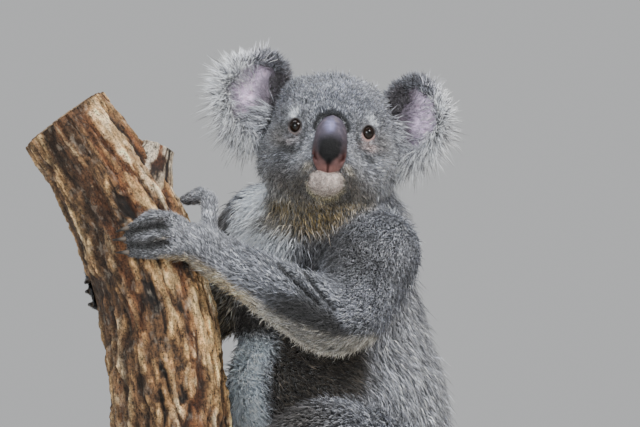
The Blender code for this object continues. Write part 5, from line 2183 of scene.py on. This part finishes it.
        # Random mottle, and painted light towards the top.
        mottle_and_top_light = 0.75 * strip(0.004, 3.6, 66) + 0.3 * strip(0.009, 7.0, 67)
        mottle_and_top_light += 0.22 * ease(points[:, 2], 0.35, 0.43)
        return tone * np.exp(mottle_and_top_light)[:, None]

    @staticmethod
    def grain(points: Array, path: Array, length: Array) -> Array:
        """Places along the grain: the offset from the nearest point of the middle line, and its run."""
        nearest = np.empty(len(points), int)
        for start in range(0, len(points), AT_ONCE):
            some = slice(start, start + AT_ONCE)
            gaps = points[some, None, ::2] - path[None, :, ::2]
            nearest[some] = (gaps**2).sum(-1).argmin(1)
        offset = points - path[nearest]
        return np.stack([offset[:, 0] + 0.3 * offset[:, 2], offset[:, 1], length[nearest]], -1)

    @staticmethod
    def sawn_colours(tone: Array, points: Array, path: Array, face: Array) -> Array:
        """Growth rings on the sawn ends: pale wood with darker lines at even distances from the pith."""
        gaps = [np.linalg.norm(points - path[k, :3], axis=1) for k in (0, -1)]
        distance = np.minimum(*gaps) + 0.0006 * lattice_noise(points, 0.012, 91)
        ring = 0.5 + 0.5 * np.cos(distance / 0.0026 * 2.0 * np.pi)
        wood = np.tile((0.52, 0.37, 0.22), (len(points), 1))
        wood = mix(wood, (0.34, 0.21, 0.11), 0.55 * ring**2)
        wood = mix(wood, (0.2, 0.12, 0.07), ease(distance, 0.036, 0.042))
        return tone + (wood - tone) * face[:, None]

    def stub(self) -> None:
        """The pale stub of a lost branch: a short cone up the trunk's side with a broken flat top."""
        knots = np.array(
            [(-0.112, TRUNK_Y - 0.004, 0.385, 0.0385), (-0.102, TRUNK_Y - 0.001, 0.416, 0.0285),
             (-0.092, TRUNK_Y + 0.003, 0.44, 0.0175), (-0.0895, TRUNK_Y + 0.004, 0.4465, 0.016)]
        )
        rows, columns = 70, 90
        path = smooth_path(knots, rows)
        rings = tube_points(path[:, :3], path[:, 3], columns, across=(0.0, 1.0, 0.0))
        turn = np.tile(ring_turns(columns), rows)
        run = np.repeat(np.linspace(0.0, 0.07, rows), columns)
        height = self.furrows(turn, run, 0.026, 40)
        rings += unit(rings - path[:, None, :3]) * (0.0022 * (height * 0.5 - 0.3)).reshape(rows, columns, 1)
        top = path[-1, :3]
        lift = unit(path[-1, :3] - path[-2, :3]) * 0.0018
        shares = (0.93, 0.8, 0.6, 0.4, 0.2, 0.05)
        caps = np.array([top + (rings[-1] - top) * share + lift * (1.0 - share**3) for share in shares])
        caps[..., 2] += 0.0011 * lattice_noise(caps.reshape(-1, 3), 0.005, 17).reshape(caps.shape[:2])
        mesh = closed_tube("trunk_stub", np.concatenate([rings, caps]))
        points, _ = read_mesh(mesh)
        level = np.full(len(points), 0.5)
        level[: rows * columns] = height
        grain = self.grain(points, path[:, :3], np.linspace(0.0, 0.07, rows))
        tone = self.bark_colours(points, level, grain)
        pale = ease(points[:, 2], 0.395, 0.432)
        tone = mix(tone, (0.56, 0.49, 0.39), 0.85 * pale * ease(level, -0.5, 0.1))
        face = np.zeros(len(points))
        face[rows * columns : -2] = 1.0
        face[-1] = 1.0
        tone = mix(tone, (0.58, 0.49, 0.37), face * 0.9)
        self.dress(mesh, tone, grain)


@dataclass
class Stand:
    """The display stand: its packed board and rods, with turned collars where they meet."""

    collar_radius: float = 0.0165
    collar_height: float = 0.0085

    def build(self) -> None:
        """Finishes the board and rods and adds a collar at the foot of each rod."""
        rods = ("stand_rod_trunk", "stand_rod_rump")
        for name in ("stand_base", *rods):
            finish = SteelFinish("satin_steel") if name in rods else BoardFinish("painted_board")
            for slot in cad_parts[name].material_slots:
                slot.material = finish.material()
            LOG.info("%s: new finish", name)
        board_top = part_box("stand_base")[1].z
        for name in rods:
            low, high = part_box(name)
            self.collar(name + "_collar", (low.x + high.x) / 2, (low.y + high.y) / 2, board_top)

    def collar(self, name: str, x: float, y: float, z: float) -> None:
        """A turned collar: a profile of radii and heights carried round the rod."""
        r, h = self.collar_radius, self.collar_height
        profile = np.array(
            [(r, 0.0001), (r, h * 0.45), (r * 0.97, h * 0.62), (r * 0.9, h * 0.7), (r * 0.72, h * 0.78),
             (r * 0.62, h * 0.92), (r * 0.6, h)]
        )
        turn = ring_turns(64)
        radii, heights = profile[:, :1], profile[:, 1:]
        rings = np.stack([x + radii * np.cos(turn), y + radii * np.sin(turn), z + heights + 0.0 * turn], -1)
        put(name, closed_tube(name, rings), SteelFinish("satin_steel"), "stand_steel")


@dataclass
class Studio:
    """The floor, the soft lights and the camera."""

    target: Spot = (0.058, -0.007, 0.39)
    distance: float = 3.6
    elevation: float = -3.0
    view_width: float = 0.5952  # metres across the picture at the target
    floor_size: float = 14.0

    def build(self) -> None:
        """Sets up everything that isn't part of the model."""
        self.floor()
        self.light("key", (1.6, -1.6, 2.3), 0.9, 82.0, (1.0, 0.985, 0.955))
        self.light("top", (-0.3, 0.3, 2.9), 1.8, 52.0, (0.88, 0.94, 1.0))
        self.light("fill", (-0.75, -2.8, 1.25), 1.2, 58.0, (0.92, 0.97, 1.0))
        self.light("low", (-0.35, -2.9, 0.42), 2.0, 21.0, (0.9, 0.96, 1.0))
        self.light("side", (-2.0, 0.5, 1.1), 1.0, 13.0, (0.95, 0.98, 1.0))
        self.light("back", (1.5, 1.9, 1.5), 1.2, 26.0, (1.0, 0.98, 0.95))
        self.sky()
        self.camera()

    def floor(self) -> None:
        """A wide level sheet of a few faces under the stand."""
        half = self.floor_size / 2
        corners = np.array([(-half, -half), (half, -half), (half, half), (-half, half)])
        points = np.column_stack([corners, np.full(4, -0.0002)])
        sheet = bpy.data.objects.new("floor", make_mesh("floor", points, np.array([0, 1, 2, 3]), 4))
        bpy.context.scene.collection.objects.link(sheet)
        sheet.data.materials.append(FloorFinish("pale_floor").material())

    def light(self, name: str, place: Spot, size: float, power: float, colour: Colour) -> None:
        """A square soft light that looks at the model."""
        lamp = bpy.data.lights.new(name, "AREA")
        lamp.shape, lamp.size, lamp.energy, lamp.color = "SQUARE", size, power, colour
        made = bpy.data.objects.new(name, lamp)
        made.location = place
        way = Vector(self.target) - Vector(place)
        made.rotation_euler = way.to_track_quat("-Z", "Y").to_euler()
        bpy.context.scene.collection.objects.link(made)

    def sky(self) -> None:
        """An even pale surround."""
        world = bpy.context.scene.world or bpy.data.worlds.new("surround")
        bpy.context.scene.world = world
        world.use_nodes = True
        background = world.node_tree.nodes["Background"]
        background.inputs[0].default_value = (0.8, 0.81, 0.82, 1.0)
        background.inputs[1].default_value = 0.64

    def camera(self) -> None:
        """A long lens a little below the model's head, looking slightly up."""
        lens = bpy.data.cameras.new("camera")
        lens.sensor_width = 36.0
        lens.lens = 36.0 * self.distance / self.view_width
        made = bpy.data.objects.new("camera", lens)
        up = math.radians(self.elevation)
        back = Vector((0.0, -math.cos(up), math.sin(up)))
        made.location = Vector(self.target) + back * self.distance
        made.rotation_euler = (-back).to_track_quat("-Z", "Y").to_euler()
        bpy.context.scene.collection.objects.link(made)
        bpy.context.scene.camera = made


def main() -> None:
    """Builds the model from the skin outwards, then the studio round it."""
    skin = Skin()
    skin.build()
    skin.dress()
    Coat(skin).build()
    Nose().build()
    for side, name in ((-1.0, "eye_right"), (1.0, "eye_left")):
        Eye(side, name).build()
    Ear(-1.0, "ear_flap_right", (-0.074, 0.006, 0.037), (4, 10, 18)).build("ear_right")
    Ear(1.0, "ear_flap_left", (0.073, 0.008, 0.028), (2, 14, -20), seed=4).build("ear_left")
    Claws().build()
    Perch().build()
    Stand().build()
    Studio().build()


if __name__ == "__main__":
    main()
